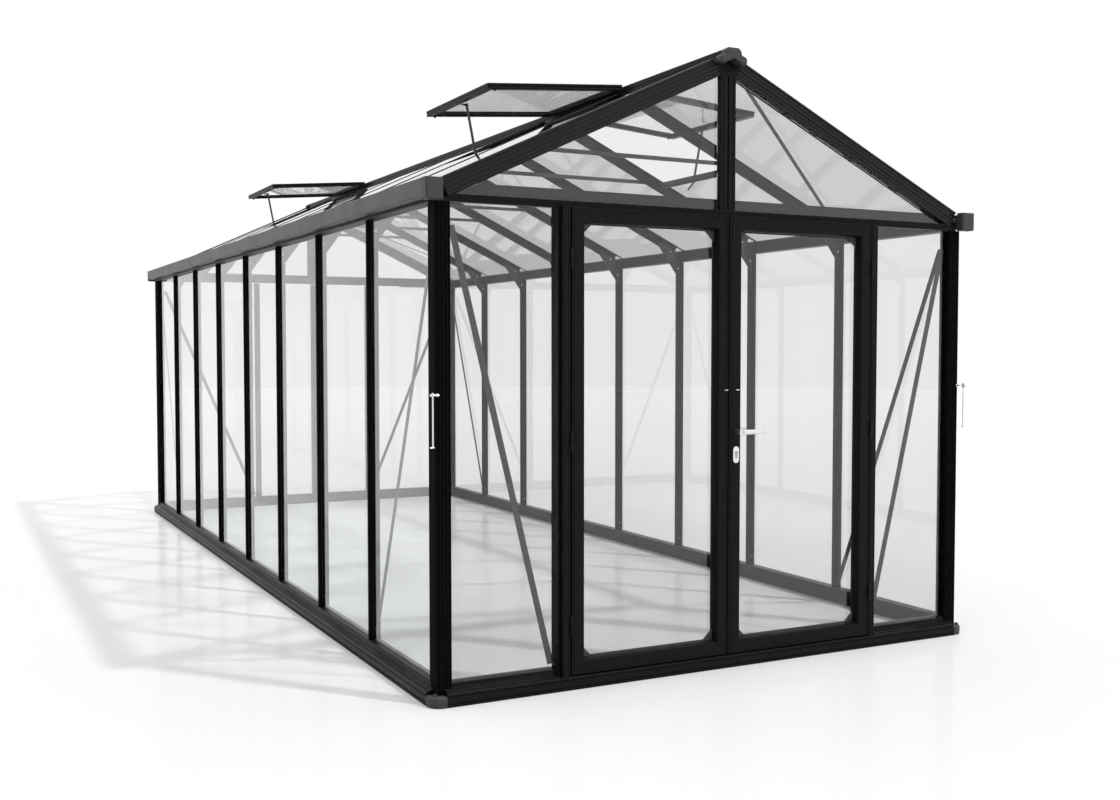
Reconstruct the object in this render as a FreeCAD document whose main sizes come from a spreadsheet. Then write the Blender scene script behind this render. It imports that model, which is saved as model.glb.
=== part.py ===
import FreeCAD, Part
import Sketcher
import os

# Walk-in glass greenhouse, eight bays long, with a hinged double door and opening roof vents.
#
# Frame of the model: +X to the right as seen from the door, +Y from the door to the rear gable,
# +Z up. The origin is the centre of the base frame's footprint on the ground. Lengths in mm.
#
# A wall member is described by its distance from the middle, so the left side is the mirror image
# of the right. A roof member is drawn flat, in the frame of its slope (X down the slope from the
# ridge line, Z out of the roof), and its Placement tilts it to the roof's pitch.

doc = FreeCAD.newDocument("Greenhouse")
sheet = doc.addObject("Spreadsheet::Sheet", "Sizes")

DRIVING_SIZES = {
    # Overall layout
    "wall_length": 6087,
    "wall_width": 2563,
    "bay_pitch": 750,
    "post_size": 61,
    "tube_wall": 3,
    # Base frame
    "base_height": 50,
    "base_outset": 30,
    "base_width": 75,
    "foot_size": 91.5,
    "foot_radius": 59,
    "foot_height": 52,
    "sill_top": 80,
    # Wall glazing: setbacks are measured inwards from the outer face of the corner posts
    "glass_thick": 4,
    "glass_setback": 22,
    "cap_setback": 6.5,
    "cap_width": 20,
    "corner_cap_width": 24,
    "flange_width": 40,
    "flange_thick": 4,
    "web_thick": 5,
    "wall_depth": 60,
    "pane_gap": 6,
    # Eaves and gutters
    "eave_low": 1850,
    "eave_top": 1903,
    "gutter_low": 1850,
    "gutter_top": 1931,
    "gutter_back": 1895,
    "gutter_inner": 1277,
    "gutter_outer": 1331,
    "gutter_wall": 3,
    "end_cap_inner": 1261,
    "end_cap_front": 40,
    "eave_rail_gap": 44.5,
    # Roof
    "ridge_line": 2522,
    "roof_pitch": 25,
    "roof_glass_setback": 4.5,
    "rafter_depth": 53.5,
    "roof_start": 80,
    "roof_end": 1355,
    "roof_glass_start": 75,
    "roof_glass_end": 1431,
    "gable_rafter_depth": 75,
    "gable_rafter_width": 44,
    "gable_rafter_start": 79,
    "gable_rafter_end": 1388,
    "ridge_half": 24,
    "ridge_low": 2445,
    "ridge_top": 2530,
    "ridge_shoulder_half": 58,
    "ridge_shoulder_low": 2462,
    "ridge_shoulder_top": 2486,
    "ridge_cap_half": 66,
    "ridge_cap_flat_half": 28,
    "ridge_cap_ear_drop": 38,
    "ridge_cap_depth": 67,
    "tie_height": 2210,
    "tie_depth": 20,
    "tie_thick": 3,
    # Gables
    "tie_beam_low": 1856,
    "tie_beam_top": 1880,
    "tie_beam_half": 1198,
    "tie_beam_depth": 26,
    "tie_rail_top": 1925,
    "tie_rail_half": 1095,
    "tie_rail_back": 50,
    "centre_post_half": 38,
    "tie_corner_end": 1257.5,
    "tie_corner_top": 1866.8,
    "tie_wedge_end": 1221,
    "tie_wedge_top": 1869,
    "apex_foot_half": 39.5,
    "apex_seat_half": 50,
    "apex_seat": 2444.5,
    "apex_top_half": 58,
    "apex_top": 2461.5,
    "rear_post_at": 475,
    # Door
    "door_proud": 31,
    "leaf_thick": 50,
    "leaf_outer": 734.5,
    "leaf_low": 59,
    "leaf_top": 1853,
    "stile_width": 58,
    "left_meeting_low": -66.5,
    "left_meeting_high": -14.5,
    "right_meeting_low": -9.5,
    "right_meeting_high": 54,
    "leaf_glass_in": 9,
    "jamb_inner": 740.5,
    "jamb_face": 773.5,
    "jamb_outer": 784,
    "jamb_depth": 50,
    "hinge_at": 737.5,
    "hinge_out": 36,
    "hinge_pin": 2,
    "hinge_bore": 2.3,
    "hinge_radius": 4.5,
    "knuckle": 24,
    "hinge_plate": 1.8,
    "hinge_gap": 0.5,
    "lever_height": 975,
    "lock_at": 22,
    "lock_drop": 86,
    "lock_barrel": 8.5,
    "lock_fin_half": 5,
    "lock_fin_drop": 24,
    "lever_reach": 118,
    "lever_out": 49,
    # Roof vents
    "vent_length": 684,
    "vent_width": 738,
    "vent_frame": 27,
    "vent_rail": 30,
    "vent_low_rail": 34,
    "vent_hinge_gap": 4,
    "pivot_setback": 56,
    "pivot_drop": 18,
    "lug_bore": 2.8,
    "lug_reach": 6,
    "lug_setback": 26,
    "lug_low": 24,
    "lug_near": 5,
    "lug_far": 2,
    "buffer_setback": 38,
    "buffer_side": 12,
    "buffer_radius": 5,
    "buffer_height": 7,
    "vent_hinge_x": 30,
    "vent_hinge_z": 2522,
    "vent_open": 20.2,
    "stay_length": 330,
    "stay_lean": 11,
    "stay_half": 6,
    "stay_thick": 3,
    "stay_head": 7,
    "stay_top_gap": 40,
    "stay_pin": 2.5,
    "tail_half": 5,
    "tail_length": 48,
    "tail_lap": 2,
    "tail_shift": 30,
    "tail_turn": 30,
    "vent_sill_start": 702,
    "vent_sill_end": 728,
    # Fixings
    "bolt_radius": 6,
    "bolt_head": 4,
    "brace_thick": 3,
    "brace_wide": 25,
    "brace_foot": 95,
    "brace_head": 1765,
    "roof_brace_short": 60,
    "roof_brace_start": 20,
    "roof_brace_side": 30,
    "roof_brace_drop": 28,
    "haunch_lap": 25,
    "haunch_drop": 115,
    "haunch_rise": 65,
    "haunch_reach": 130,
    "haunch_tip_top": 122,
    "haunch_tip_low": 94,
    "foot_bolt_side": 12,
    "foot_bolt_low": 130,
    "foot_bolt_high": 150,
    # Door hooks
    "hook_height": 1147,
    "hook_out": 18.5,
    "hook_inset": 7,
    "hook_side": 16.5,
    "hook_arm": 8,
    "hook_heel": 5,
    "stud_radius": 3,
    "stud_head": 4.5,
    "stud_head_thick": 2,
    "stud_foot": 6,
    "stud_plate": 3,
    "hook_length": 190,
    "rod": 3,
    "hook_loop": 7,
    "hook_tip": 16,
    "eye_radius": 8,
    "eye_wire": 2,
}
for row, (alias, number) in enumerate(DRIVING_SIZES.items(), start=1):
    sheet.set(f"A{row}", alias)
    sheet.set(f"B{row}", str(number))
    sheet.setAlias(f"B{row}", alias)
doc.recompute()

HALF_LENGTH = "(Sizes.wall_length / 2)"
HALF_WIDTH = "(Sizes.wall_width / 2)"
GLASS_OUT = f"({HALF_WIDTH} - Sizes.glass_setback)"
GLASS_IN = f"({GLASS_OUT} - Sizes.glass_thick)"
GABLE_GLASS_OUT = f"({HALF_LENGTH} - Sizes.glass_setback)"
GABLE_GLASS_IN = f"({GABLE_GLASS_OUT} - Sizes.glass_thick)"
FLANGE_FACE = f"({GLASS_IN} - 1 - Sizes.flange_thick)"
WALL_INNER = f"({HALF_WIDTH} - Sizes.wall_depth)"
POST_START = f"({HALF_LENGTH} - Sizes.post_size)"
POST_INNER = f"({HALF_WIDTH} - Sizes.post_size)"
BARS = (-3, -2, -1, 0, 1, 2, 3)
BAYS = (-4, -3, -2, -1, 0, 1, 2, 3)
LEFT_VENT_BAYS = (-3, 2)
RIGHT_VENT_BAYS = (-3,)

nodes = []


def value(expression):
    """Number that an expression of the sheet's sizes gives."""
    number = sheet.evalExpression(expression.replace("Sizes.", ""))
    return getattr(number, "Value", number)


def box(name, x, y, z):
    """Box between low and high expressions along each axis."""
    solid = doc.addObject("Part::Box", name)
    for size, (low, high) in zip(("Length", "Width", "Height"), (x, y, z)):
        solid.setExpression(size, f"({high}) - ({low})")
    for axis, (low, high) in zip("xyz", (x, y, z)):
        solid.setExpression(f"Placement.Base.{axis}", low)
    return solid


def cylinder(name, centre, direction, radius, length):
    """Cylinder from a centre point along X, Y or Z; length and radius are expressions."""
    turns = {
        "x": FreeCAD.Rotation(FreeCAD.Vector(0, 1, 0), 90),
        "y": FreeCAD.Rotation(FreeCAD.Vector(1, 0, 0), -90),
        "z": FreeCAD.Rotation(),
    }
    solid = doc.addObject("Part::Cylinder", name)
    solid.setExpression("Radius", radius)
    solid.setExpression("Height", length)
    solid.Placement = FreeCAD.Placement(FreeCAD.Vector(), turns[direction])
    for axis, place in zip("xyz", centre):
        solid.setExpression(f"Placement.Base.{axis}", place)
    return solid


def fuse(name, *shapes):
    """One solid made from touching shapes."""
    solid = doc.addObject("Part::MultiFuse", name)
    solid.Shapes = list(shapes)
    solid.Refine = True
    return solid


def cut(name, base, tool):
    """Base without tool."""
    solid = doc.addObject("Part::Cut", name)
    solid.Base = base
    solid.Tool = tool
    return solid


def tube(name, x, y, z, along):
    """Hollow rectangular member, open at both ends of its long axis."""
    wall = "Sizes.tube_wall"
    spans = {"x": x, "y": y, "z": z}
    bore = [
        spans[axis] if axis == along else (f"{spans[axis][0]} + {wall}", f"{spans[axis][1]} - {wall}")
        for axis in "xyz"
    ]
    return cut(name, box(f"{name}_outside", x, y, z), box(f"{name}_inside", *bore))


def mirrored(name, source, axis="x"):
    """Mirror image across the plane through the origin square to an axis."""
    copy = doc.addObject("Part::Mirroring", name)
    copy.Source = source
    copy.Normal = FreeCAD.Vector(axis == "x", axis == "y", axis == "z")
    return copy


def group(name, shapes):
    """Separate solids kept together, with a Placement of their own."""
    compound = doc.addObject("Part::Compound", name)
    compound.Links = list(shapes)
    return compound


def node(label, shape):
    """Sub-part: its Label names the file that it is written to."""
    shape.Label = label
    nodes.append(shape)
    return shape


def outline(name, points, y_low, y_high):
    """Plate or bar with an upright outline of (x, z) expressions, from one y to another."""
    sketch = doc.addObject("Sketcher::SketchObject", f"{name}_sketch")
    upright = FreeCAD.Rotation(FreeCAD.Vector(1, 0, 0), 90)
    sketch.Placement = FreeCAD.Placement(FreeCAD.Vector(), upright)
    corners = [FreeCAD.Vector(value(x), value(z), 0) for x, z in points]
    for start, end in zip(corners, corners[1:] + corners[:1]):
        sketch.addGeometry(Part.LineSegment(start, end), False)
    last = len(points) - 1
    for index, (x, z) in enumerate(points):
        previous = last if index == 0 else index - 1
        sketch.addConstraint(Sketcher.Constraint("Coincident", previous, 2, index, 1))
        for kind, place in (("DistanceX", x), ("DistanceY", z)):
            constraint = Sketcher.Constraint(kind, -1, 1, index, 1, value(place))
            number = sketch.addConstraint(constraint)
            sketch.setExpression(f"Constraints[{number}]", place)
    solid = doc.addObject("Part::Extrusion", name)
    solid.Base = sketch
    solid.DirMode = "Custom"
    solid.Dir = FreeCAD.Vector(0, 1, 0)
    solid.Solid = True
    solid.setExpression("LengthFwd", f"({y_high}) - ({y_low})")
    solid.setExpression("Placement.Base.y", y_low)
    return solid


def tilt(slope, pitch="Sizes.roof_pitch", x="0", z="Sizes.ridge_line"):
    """Lay a flat-drawn group of the right slope at its pitch, from a point on the ridge side."""
    down = FreeCAD.Rotation(FreeCAD.Vector(0, 1, 0), 1)
    slope.Placement = FreeCAD.Placement(FreeCAD.Vector(), down)
    slope.setExpression("Placement.Rotation.Angle", pitch)
    slope.setExpression("Placement.Base.x", x)
    slope.setExpression("Placement.Base.z", z)
    return slope


def both_sides(name, shapes):
    """The shapes and their mirror images in one node."""
    right = group(f"{name}_right_half", shapes)
    return group(name, [right, mirrored(f"{name}_left_half", right)])


def four_corners(name, shapes):
    """The shapes of the rear right corner, repeated at all four corners."""
    right = group(f"{name}_rear_right", shapes)
    front = mirrored(f"{name}_front_right", right, "y")
    return both_sides(name, [right, front])


def bar_y(bar):
    """Expression of a glazing bar's middle along the wall."""
    return f"({bar} * Sizes.bay_pitch)"


def pane_span(bay, edge):
    """Low and high y of a bay's pane; the end bays reach the corner posts."""
    gap = "Sizes.pane_gap / 2"
    low = f"-{edge}" if bay == BAYS[0] else f"{bar_y(bay)} + {gap}"
    high = f"{edge}" if bay == BAYS[-1] else f"{bar_y(bay + 1)} - {gap}"
    return low, high


def base_frame():
    """Aluminium base rails, joined at mid length, between rounded plastic corner feet."""
    inner = f"({HALF_WIDTH} + Sizes.base_outset - Sizes.base_width)"
    outer = f"({HALF_WIDTH} + Sizes.base_outset)"
    foot_start = f"({HALF_LENGTH} + Sizes.base_outset + 1.5 - Sizes.foot_size)"
    foot_side = f"({HALF_WIDTH} + Sizes.base_outset + 1.5 - Sizes.foot_size)"
    low = ("0", "Sizes.base_height")
    high = ("Sizes.base_height", "Sizes.sill_top")
    sill = (WALL_INNER, f"{HALF_WIDTH} - Sizes.cap_setback")
    side_length = ("0.5", foot_start)
    side = fuse(
        "side_rail",
        tube("side_rail_low", (inner, outer), side_length, low, "y"),
        tube("side_rail_sill", sill, ("0.5", POST_START), high, "y"),
    )
    rear_outer = f"({HALF_LENGTH} + Sizes.base_outset)"
    rear_low = (f"{rear_outer} - Sizes.base_width", rear_outer)
    rear_sill = (f"{HALF_LENGTH} - Sizes.wall_depth", f"{HALF_LENGTH} - Sizes.cap_setback")
    rear = fuse(
        "rear_rail",
        tube("rear_rail_low", (f"-{foot_side}", foot_side), rear_low, low, "x"),
        tube("rear_rail_sill", (f"-{POST_INNER}", POST_INNER), rear_sill, high, "x"),
    )
    front_low = tube("front_rail_low", (f"-{foot_side}", foot_side), rear_low, low, "x")
    front_sill = tube("front_rail_sill", ("Sizes.jamb_outer", POST_INNER), rear_sill, high, "x")
    threshold_top = ("Sizes.base_height", "Sizes.leaf_low - 2")
    threshold = box("threshold", ("-Sizes.jamb_inner", "Sizes.jamb_inner"), rear_low, threshold_top)
    front_parts = [front_low, front_sill, mirrored("front_rail_sill_left", front_sill), threshold]
    front = mirrored("front_rail", group("front_rail_at_rear", front_parts), "y")
    side_rails = four_corners("side_rails", [side])
    node("base_rails", group("base_rails", [side_rails, rear, front]))

    blank = box(
        "foot_blank",
        (foot_side, f"{foot_side} + Sizes.foot_size"),
        (foot_start, f"{foot_start} + Sizes.foot_size"),
        ("0", "Sizes.foot_height"),
    )
    doc.recompute()
    corner = max(
        range(len(blank.Shape.Edges)),
        key=lambda index: blank.Shape.Edges[index].CenterOfMass.x + blank.Shape.Edges[index].CenterOfMass.y,
    )
    foot = doc.addObject("Part::Fillet", "foot")
    foot.Base = blank
    foot.Edges = [(corner + 1, value("Sizes.foot_radius"), value("Sizes.foot_radius"))]
    node("base_corner_feet", four_corners("base_corner_feet", [foot]))


def walls():
    """Corner posts, wall posts with their glazing caps, eave rails and wall panes."""
    post_x = (POST_INNER, HALF_WIDTH)
    post_y = (POST_START, HALF_LENGTH)
    corner_post = tube("corner_post", post_x, post_y, ("Sizes.foot_height", "Sizes.eave_low"), "z")
    node("corner_posts", four_corners("corner_posts", [corner_post]))

    glazed = ("Sizes.sill_top", "Sizes.eave_low")
    flange_out = f"({GLASS_IN} - 1)"
    flange_in = f"({flange_out} - Sizes.flange_thick)"
    cap_reach = (f"{GLASS_OUT} + 1", f"{HALF_WIDTH} - Sizes.cap_setback")
    posts = []
    caps = []
    for bar in BARS:
        middle = bar_y(bar)
        flange = (f"{middle} - Sizes.flange_width / 2", f"{middle} + Sizes.flange_width / 2")
        web = (f"{middle} - Sizes.web_thick / 2", f"{middle} + Sizes.web_thick / 2")
        cap = (f"{middle} - Sizes.cap_width / 2", f"{middle} + Sizes.cap_width / 2")
        posts.append(
            fuse(
                f"wall_post_{bar + 4}",
                box(f"wall_post_flange_{bar + 4}", (flange_in, flange_out), flange, glazed),
                box(f"wall_post_web_{bar + 4}", (WALL_INNER, flange_in), web, glazed),
            )
        )
        caps.append(box(f"wall_cap_{bar + 4}", cap_reach, cap, glazed))
    corner_cap_y = (f"{POST_START} - Sizes.corner_cap_width", f"{POST_START} - 0.5")
    corner_cap = box("wall_corner_cap", cap_reach, corner_cap_y, glazed)
    caps += [corner_cap, mirrored("wall_corner_cap_front", corner_cap, "y")]
    node("wall_posts_right", group("wall_posts_right", posts))
    node("wall_posts_left", mirrored("wall_posts_left", nodes[-1]))
    node("wall_glazing_caps", both_sides("wall_glazing_caps", caps))

    panes = [
        box(f"wall_pane_{bay + 5}", (GLASS_IN, GLASS_OUT), pane_span(bay, POST_START), glazed)
        for bay in BAYS
    ]
    node("wall_glass_right", group("wall_glass_right", panes))
    node("wall_glass_left", mirrored("wall_glass_left", nodes[-1]))

    eave = tube(
        "eave_rail",
        (WALL_INNER, f"{HALF_WIDTH} - Sizes.cap_setback"),
        ("0.5", f"{HALF_LENGTH} - Sizes.eave_rail_gap"),
        ("Sizes.eave_low", "Sizes.eave_top"),
        "y",
    )
    node("eave_rails", four_corners("eave_rails", [eave]))


def gutters():
    """Open rain gutters along both eaves, with moulded end caps."""
    inner = "Sizes.gutter_inner"
    outer = "Sizes.gutter_outer"
    wall = "Sizes.gutter_wall"
    length = ("0.5", f"{HALF_LENGTH} + 1")
    front_wall = (f"{outer} - {wall}", outer)
    channel = fuse(
        "gutter",
        box("gutter_floor", (inner, outer), length, ("Sizes.gutter_low", f"Sizes.gutter_low + {wall}")),
        box("gutter_fascia", front_wall, length, ("Sizes.gutter_low", "Sizes.gutter_top")),
        box("gutter_back", (inner, f"{inner} + {wall}"), length, ("Sizes.gutter_low", "Sizes.gutter_back")),
    )
    node("gutters", four_corners("gutters", [channel]))
    end_cap = box(
        "gutter_end_cap",
        ("Sizes.end_cap_inner", outer),
        (f"{HALF_LENGTH} + 1.5", f"{HALF_LENGTH} + Sizes.end_cap_front"),
        ("Sizes.gutter_low", "Sizes.gutter_top"),
    )
    node("gutter_end_caps", four_corners("gutter_end_caps", [end_cap]))


def gables():
    """Tie beams, rafters and posts of the two gables, and their glass."""
    outer_reach = (f"{HALF_LENGTH} - Sizes.tie_beam_depth", HALF_LENGTH)
    rail_reach = (f"{HALF_LENGTH} - Sizes.tie_rail_back", outer_reach[0])
    beam_span = ("-Sizes.tie_beam_half", "Sizes.tie_beam_half")
    rail_span = ("-Sizes.tie_rail_half", "Sizes.tie_rail_half")
    beam_height = ("Sizes.tie_beam_low", "Sizes.tie_beam_top")
    rail_low = box("tie_rail_low", rail_span, rail_reach, beam_height)
    rail_high = tube(
        "tie_rail_high",
        rail_span,
        (rail_reach[0], f"{rail_reach[1]} - 1"),
        ("Sizes.tie_beam_top", "Sizes.tie_rail_top"),
        "x",
    )
    shoe = box(
        "tie_beam_shoe",
        ("Sizes.jamb_outer", "Sizes.end_cap_inner - 3"),
        outer_reach,
        ("Sizes.eave_low", "Sizes.tie_beam_low"),
    )
    beam_face = tube("tie_beam_face", beam_span, outer_reach, beam_height, "x")
    beam = fuse("tie_beam_profile", beam_face, rail_low, rail_high)
    corner_reach = ("Sizes.tie_beam_half", "Sizes.tie_corner_end")
    corner_height = ("Sizes.tie_beam_low", "Sizes.tie_corner_top")
    corner_block = box("tie_corner", corner_reach, outer_reach, corner_height)
    wedge_outline = [
        ("Sizes.tie_rail_half", "Sizes.tie_beam_low"),
        ("Sizes.tie_wedge_end", "Sizes.tie_beam_low"),
        ("Sizes.tie_wedge_end", "Sizes.tie_wedge_top"),
        ("Sizes.tie_rail_half", "Sizes.tie_rail_top"),
    ]
    wedge = outline("tie_rail_wedge", wedge_outline, rail_reach[0], f"{rail_reach[1]} - 1")
    ends = both_sides("tie_beam_ends", [shoe, corner_block, wedge])
    rear_beam = group("tie_beam_rear", [beam, ends])
    front_beam = mirrored("tie_beam_front", rear_beam, "y")
    node("gable_tie_beams", group("gable_tie_beams", [rear_beam, front_beam]))

    rafter = tube(
        "gable_rafter",
        ("Sizes.gable_rafter_start", "Sizes.gable_rafter_end"),
        (f"{HALF_LENGTH} - Sizes.gable_rafter_width", HALF_LENGTH),
        ("-Sizes.gable_rafter_depth", "0"),
        "x",
    )
    tilted = tilt(group("gable_rafter_tilted", [rafter]))
    node("gable_rafters", four_corners("gable_rafters", [tilted]))

    slope = "tan(Sizes.roof_pitch)"
    drop = "(Sizes.ridge_line - Sizes.gable_rafter_depth / cos(Sizes.roof_pitch))"
    half = "Sizes.centre_post_half"
    pane_low = "(Sizes.tie_beam_top + 0.5)"
    tip = f"(({drop} - {pane_low}) / {slope} - 3)"
    triangle = [
        (f"({half} + 0.5)", pane_low),
        (tip, pane_low),
        (f"({half} + 0.5)", f"({pane_low} + ({tip} - {half}) * {slope})"),
    ]
    gable_pane = outline("gable_pane", triangle, GABLE_GLASS_IN, GABLE_GLASS_OUT)
    gable_panes = both_sides("gable_panes", [gable_pane])
    glass_y = (GABLE_GLASS_IN, GABLE_GLASS_OUT)
    pane_height = ("Sizes.sill_top", "Sizes.eave_low")
    side_light = box("side_light", ("Sizes.jamb_outer", POST_INNER), glass_y, pane_height)
    front = group("gable_glass_rearward", [gable_panes, both_sides("side_lights", [side_light])])
    node("gable_glass_front", mirrored("gable_glass_front", front, "y"))

    edge = "Sizes.pane_gap / 2"
    rear_panes = [
        box("rear_pane_middle", (edge, f"Sizes.rear_post_at - {edge}"), glass_y, pane_height),
        box("rear_pane_outer", (f"Sizes.rear_post_at + {edge}", POST_INNER), glass_y, pane_height),
    ]
    rear_gable_pane = outline("rear_gable_pane", triangle, GABLE_GLASS_IN, GABLE_GLASS_OUT)
    node("gable_glass_rear", both_sides("gable_glass_rear", rear_panes + [rear_gable_pane]))

    post_top = f"({drop} - {half} * {slope} - 0.5)"
    centre_height = ("Sizes.tie_beam_top", post_top)
    centre = tube("gable_centre_post", (f"-{half}", half), outer_reach, centre_height, "z")
    foot_outline = [
        ("-Sizes.apex_foot_half", post_top),
        ("Sizes.apex_foot_half", post_top),
        ("Sizes.apex_seat_half", "Sizes.apex_seat"),
        ("-Sizes.apex_seat_half", "Sizes.apex_seat"),
    ]
    ear_outline = [
        ("(Sizes.ridge_half + 0.5)", "Sizes.apex_seat"),
        ("Sizes.apex_seat_half", "Sizes.apex_seat"),
        ("Sizes.apex_top_half", "Sizes.apex_top"),
        ("(Sizes.ridge_half + 0.5)", "Sizes.apex_top"),
    ]
    apex_foot = outline("apex_foot", foot_outline, *outer_reach)
    apex_ears = both_sides("apex_ears", [outline("apex_ear", ear_outline, *outer_reach)])
    apex = [apex_foot, apex_ears]
    apex += [mirrored("apex_foot_front", apex_foot, "y"), mirrored("apex_ears_front", apex_ears, "y")]
    inner_reach = (f"{HALF_LENGTH} - Sizes.wall_depth", f"{GABLE_GLASS_IN} - 1")
    cap_reach = (f"{GABLE_GLASS_OUT} + 1", f"{HALF_LENGTH} - Sizes.cap_setback")
    rear_posts = [centre]
    for index, middle in enumerate(("-Sizes.rear_post_at", "0", "Sizes.rear_post_at")):
        flange = (f"{middle} - Sizes.flange_width / 2", f"{middle} + Sizes.flange_width / 2")
        cap = (f"{middle} - Sizes.cap_width / 2", f"{middle} + Sizes.cap_width / 2")
        rear_posts.append(tube(f"rear_post_{index}", flange, inner_reach, pane_height, "z"))
        rear_posts.append(box(f"rear_cap_{index}", cap, cap_reach, pane_height))
    front_centre = mirrored("front_centre_post", centre, "y")
    node("gable_posts", group("gable_posts", rear_posts + apex + [front_centre]))


def roof():
    """Ridge, rafters, glazing caps, panes and collar ties; a vent bay has a shorter pane."""
    full = (f"-{HALF_LENGTH}", HALF_LENGTH)
    core_span = ("-Sizes.ridge_half", "Sizes.ridge_half")
    shoulder_height = ("Sizes.ridge_shoulder_low", "Sizes.ridge_shoulder_top")
    core = tube("ridge_core", core_span, full, ("Sizes.ridge_low", "Sizes.ridge_top"), "y")
    shoulder_span = ("Sizes.ridge_half", "Sizes.ridge_shoulder_half")
    right_shoulder = tube("ridge_shoulder", shoulder_span, full, shoulder_height, "y")
    left_shoulder = mirrored("ridge_shoulder_left", right_shoulder)
    node("ridge_beam", group("ridge", [core, right_shoulder, left_shoulder]))

    ear_top = "Sizes.ridge_top - Sizes.ridge_cap_ear_drop"
    ear_low = "Sizes.ridge_top - Sizes.ridge_cap_depth"
    cap_outline = [
        ("Sizes.ridge_cap_flat_half", "Sizes.ridge_top"),
        ("Sizes.ridge_cap_half", ear_top),
        ("Sizes.ridge_cap_half", ear_low),
        ("-Sizes.ridge_cap_half", ear_low),
        ("-Sizes.ridge_cap_half", ear_top),
        ("-Sizes.ridge_cap_flat_half", "Sizes.ridge_top"),
    ]
    cap_end = f"{HALF_LENGTH} + Sizes.end_cap_front"
    end_cap = outline("ridge_end_cap", cap_outline, f"{HALF_LENGTH} + 0.5", cap_end)
    node("ridge_end_caps", group("ridge_end_caps", [end_cap, mirrored("ridge_front_cap", end_cap, "y")]))

    length = ("Sizes.roof_start", "Sizes.roof_end")
    glass_top = "(-Sizes.roof_glass_setback)"
    glass_low = f"({glass_top} - Sizes.glass_thick)"
    flange_top = f"({glass_low} - 1)"
    flange_low = f"({flange_top} - Sizes.flange_thick)"
    web_low = f"({flange_low} - Sizes.rafter_depth + Sizes.web_thick)"
    rafters = []
    caps = []
    for bar in BARS:
        middle = bar_y(bar)
        flange = (f"{middle} - Sizes.flange_width / 2", f"{middle} + Sizes.flange_width / 2")
        web = (f"{middle} - Sizes.web_thick / 2", f"{middle} + Sizes.web_thick / 2")
        cap = (f"{middle} - Sizes.cap_width / 2", f"{middle} + Sizes.cap_width / 2")
        rafters.append(
            fuse(
                f"rafter_{bar + 4}",
                box(f"rafter_flange_{bar + 4}", length, flange, (flange_low, flange_top)),
                box(f"rafter_web_{bar + 4}", length, web, (web_low, flange_low)),
            )
        )
        cap_length = ("Sizes.roof_start", "Sizes.roof_glass_end")
        caps.append(box(f"roof_cap_{bar + 4}", cap_length, cap, (f"{glass_top} + 0.5", "-2")))
    node("roof_rafters_right", tilt(group("roof_rafters_right", rafters)))
    node("roof_rafters_left", mirrored("roof_rafters_left", nodes[-1]))
    caps_right = tilt(group("roof_caps_right", caps))
    caps_left = mirrored("roof_caps_left", caps_right)
    node("roof_glazing_caps", group("roof_glazing_caps", [caps_right, caps_left]))

    sides = (("right", RIGHT_VENT_BAYS), ("left", LEFT_VENT_BAYS))
    roof_edge = f"({HALF_LENGTH} - Sizes.eave_rail_gap)"
    sills = []
    for side, vent_bays in sides:
        panes = []
        for bay in BAYS:
            start = "Sizes.vent_sill_end + 1" if bay in vent_bays else "Sizes.roof_glass_start"
            reach = (start, "Sizes.roof_glass_end")
            span = pane_span(bay, roof_edge)
            panes.append(box(f"roof_pane_{side}_{bay + 5}", reach, span, (glass_low, glass_top)))
        slope = tilt(group(f"roof_panes_{side}", panes))
        if side == "left":
            slope = mirrored("roof_panes_left_slope", slope)
        node(f"roof_glass_{side}", slope)
        for bay in vent_bays:
            span = (f"{bar_y(bay)} + 21", f"{bar_y(bay + 1)} - 21")
            reach = ("Sizes.vent_sill_start", "Sizes.vent_sill_end")
            bar = box(f"vent_sill_{side}_{bay + 5}", reach, span, ("-40", "-10"))
            sill = tilt(group(f"vent_sill_tilted_{side}_{bay + 5}", [bar]))
            sills.append(mirrored(f"vent_sill_left_{bay + 5}", sill) if side == "left" else sill)
    node("vent_sills", group("vent_sills", sills))

    ties = []
    reach = "((Sizes.ridge_line - Sizes.tie_height) / tan(Sizes.roof_pitch) - 85)"
    for bar in BARS:
        middle = bar_y(bar)
        low = f"{middle} + Sizes.web_thick / 2"
        thickness = (low, f"{low} + Sizes.tie_thick")
        height = ("Sizes.tie_height - Sizes.tie_depth / 2", "Sizes.tie_height + Sizes.tie_depth / 2")
        ties.append(box(f"collar_tie_{bar + 4}", (f"-{reach}", reach), thickness, height))
    node("collar_ties", group("collar_ties", ties))


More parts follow.
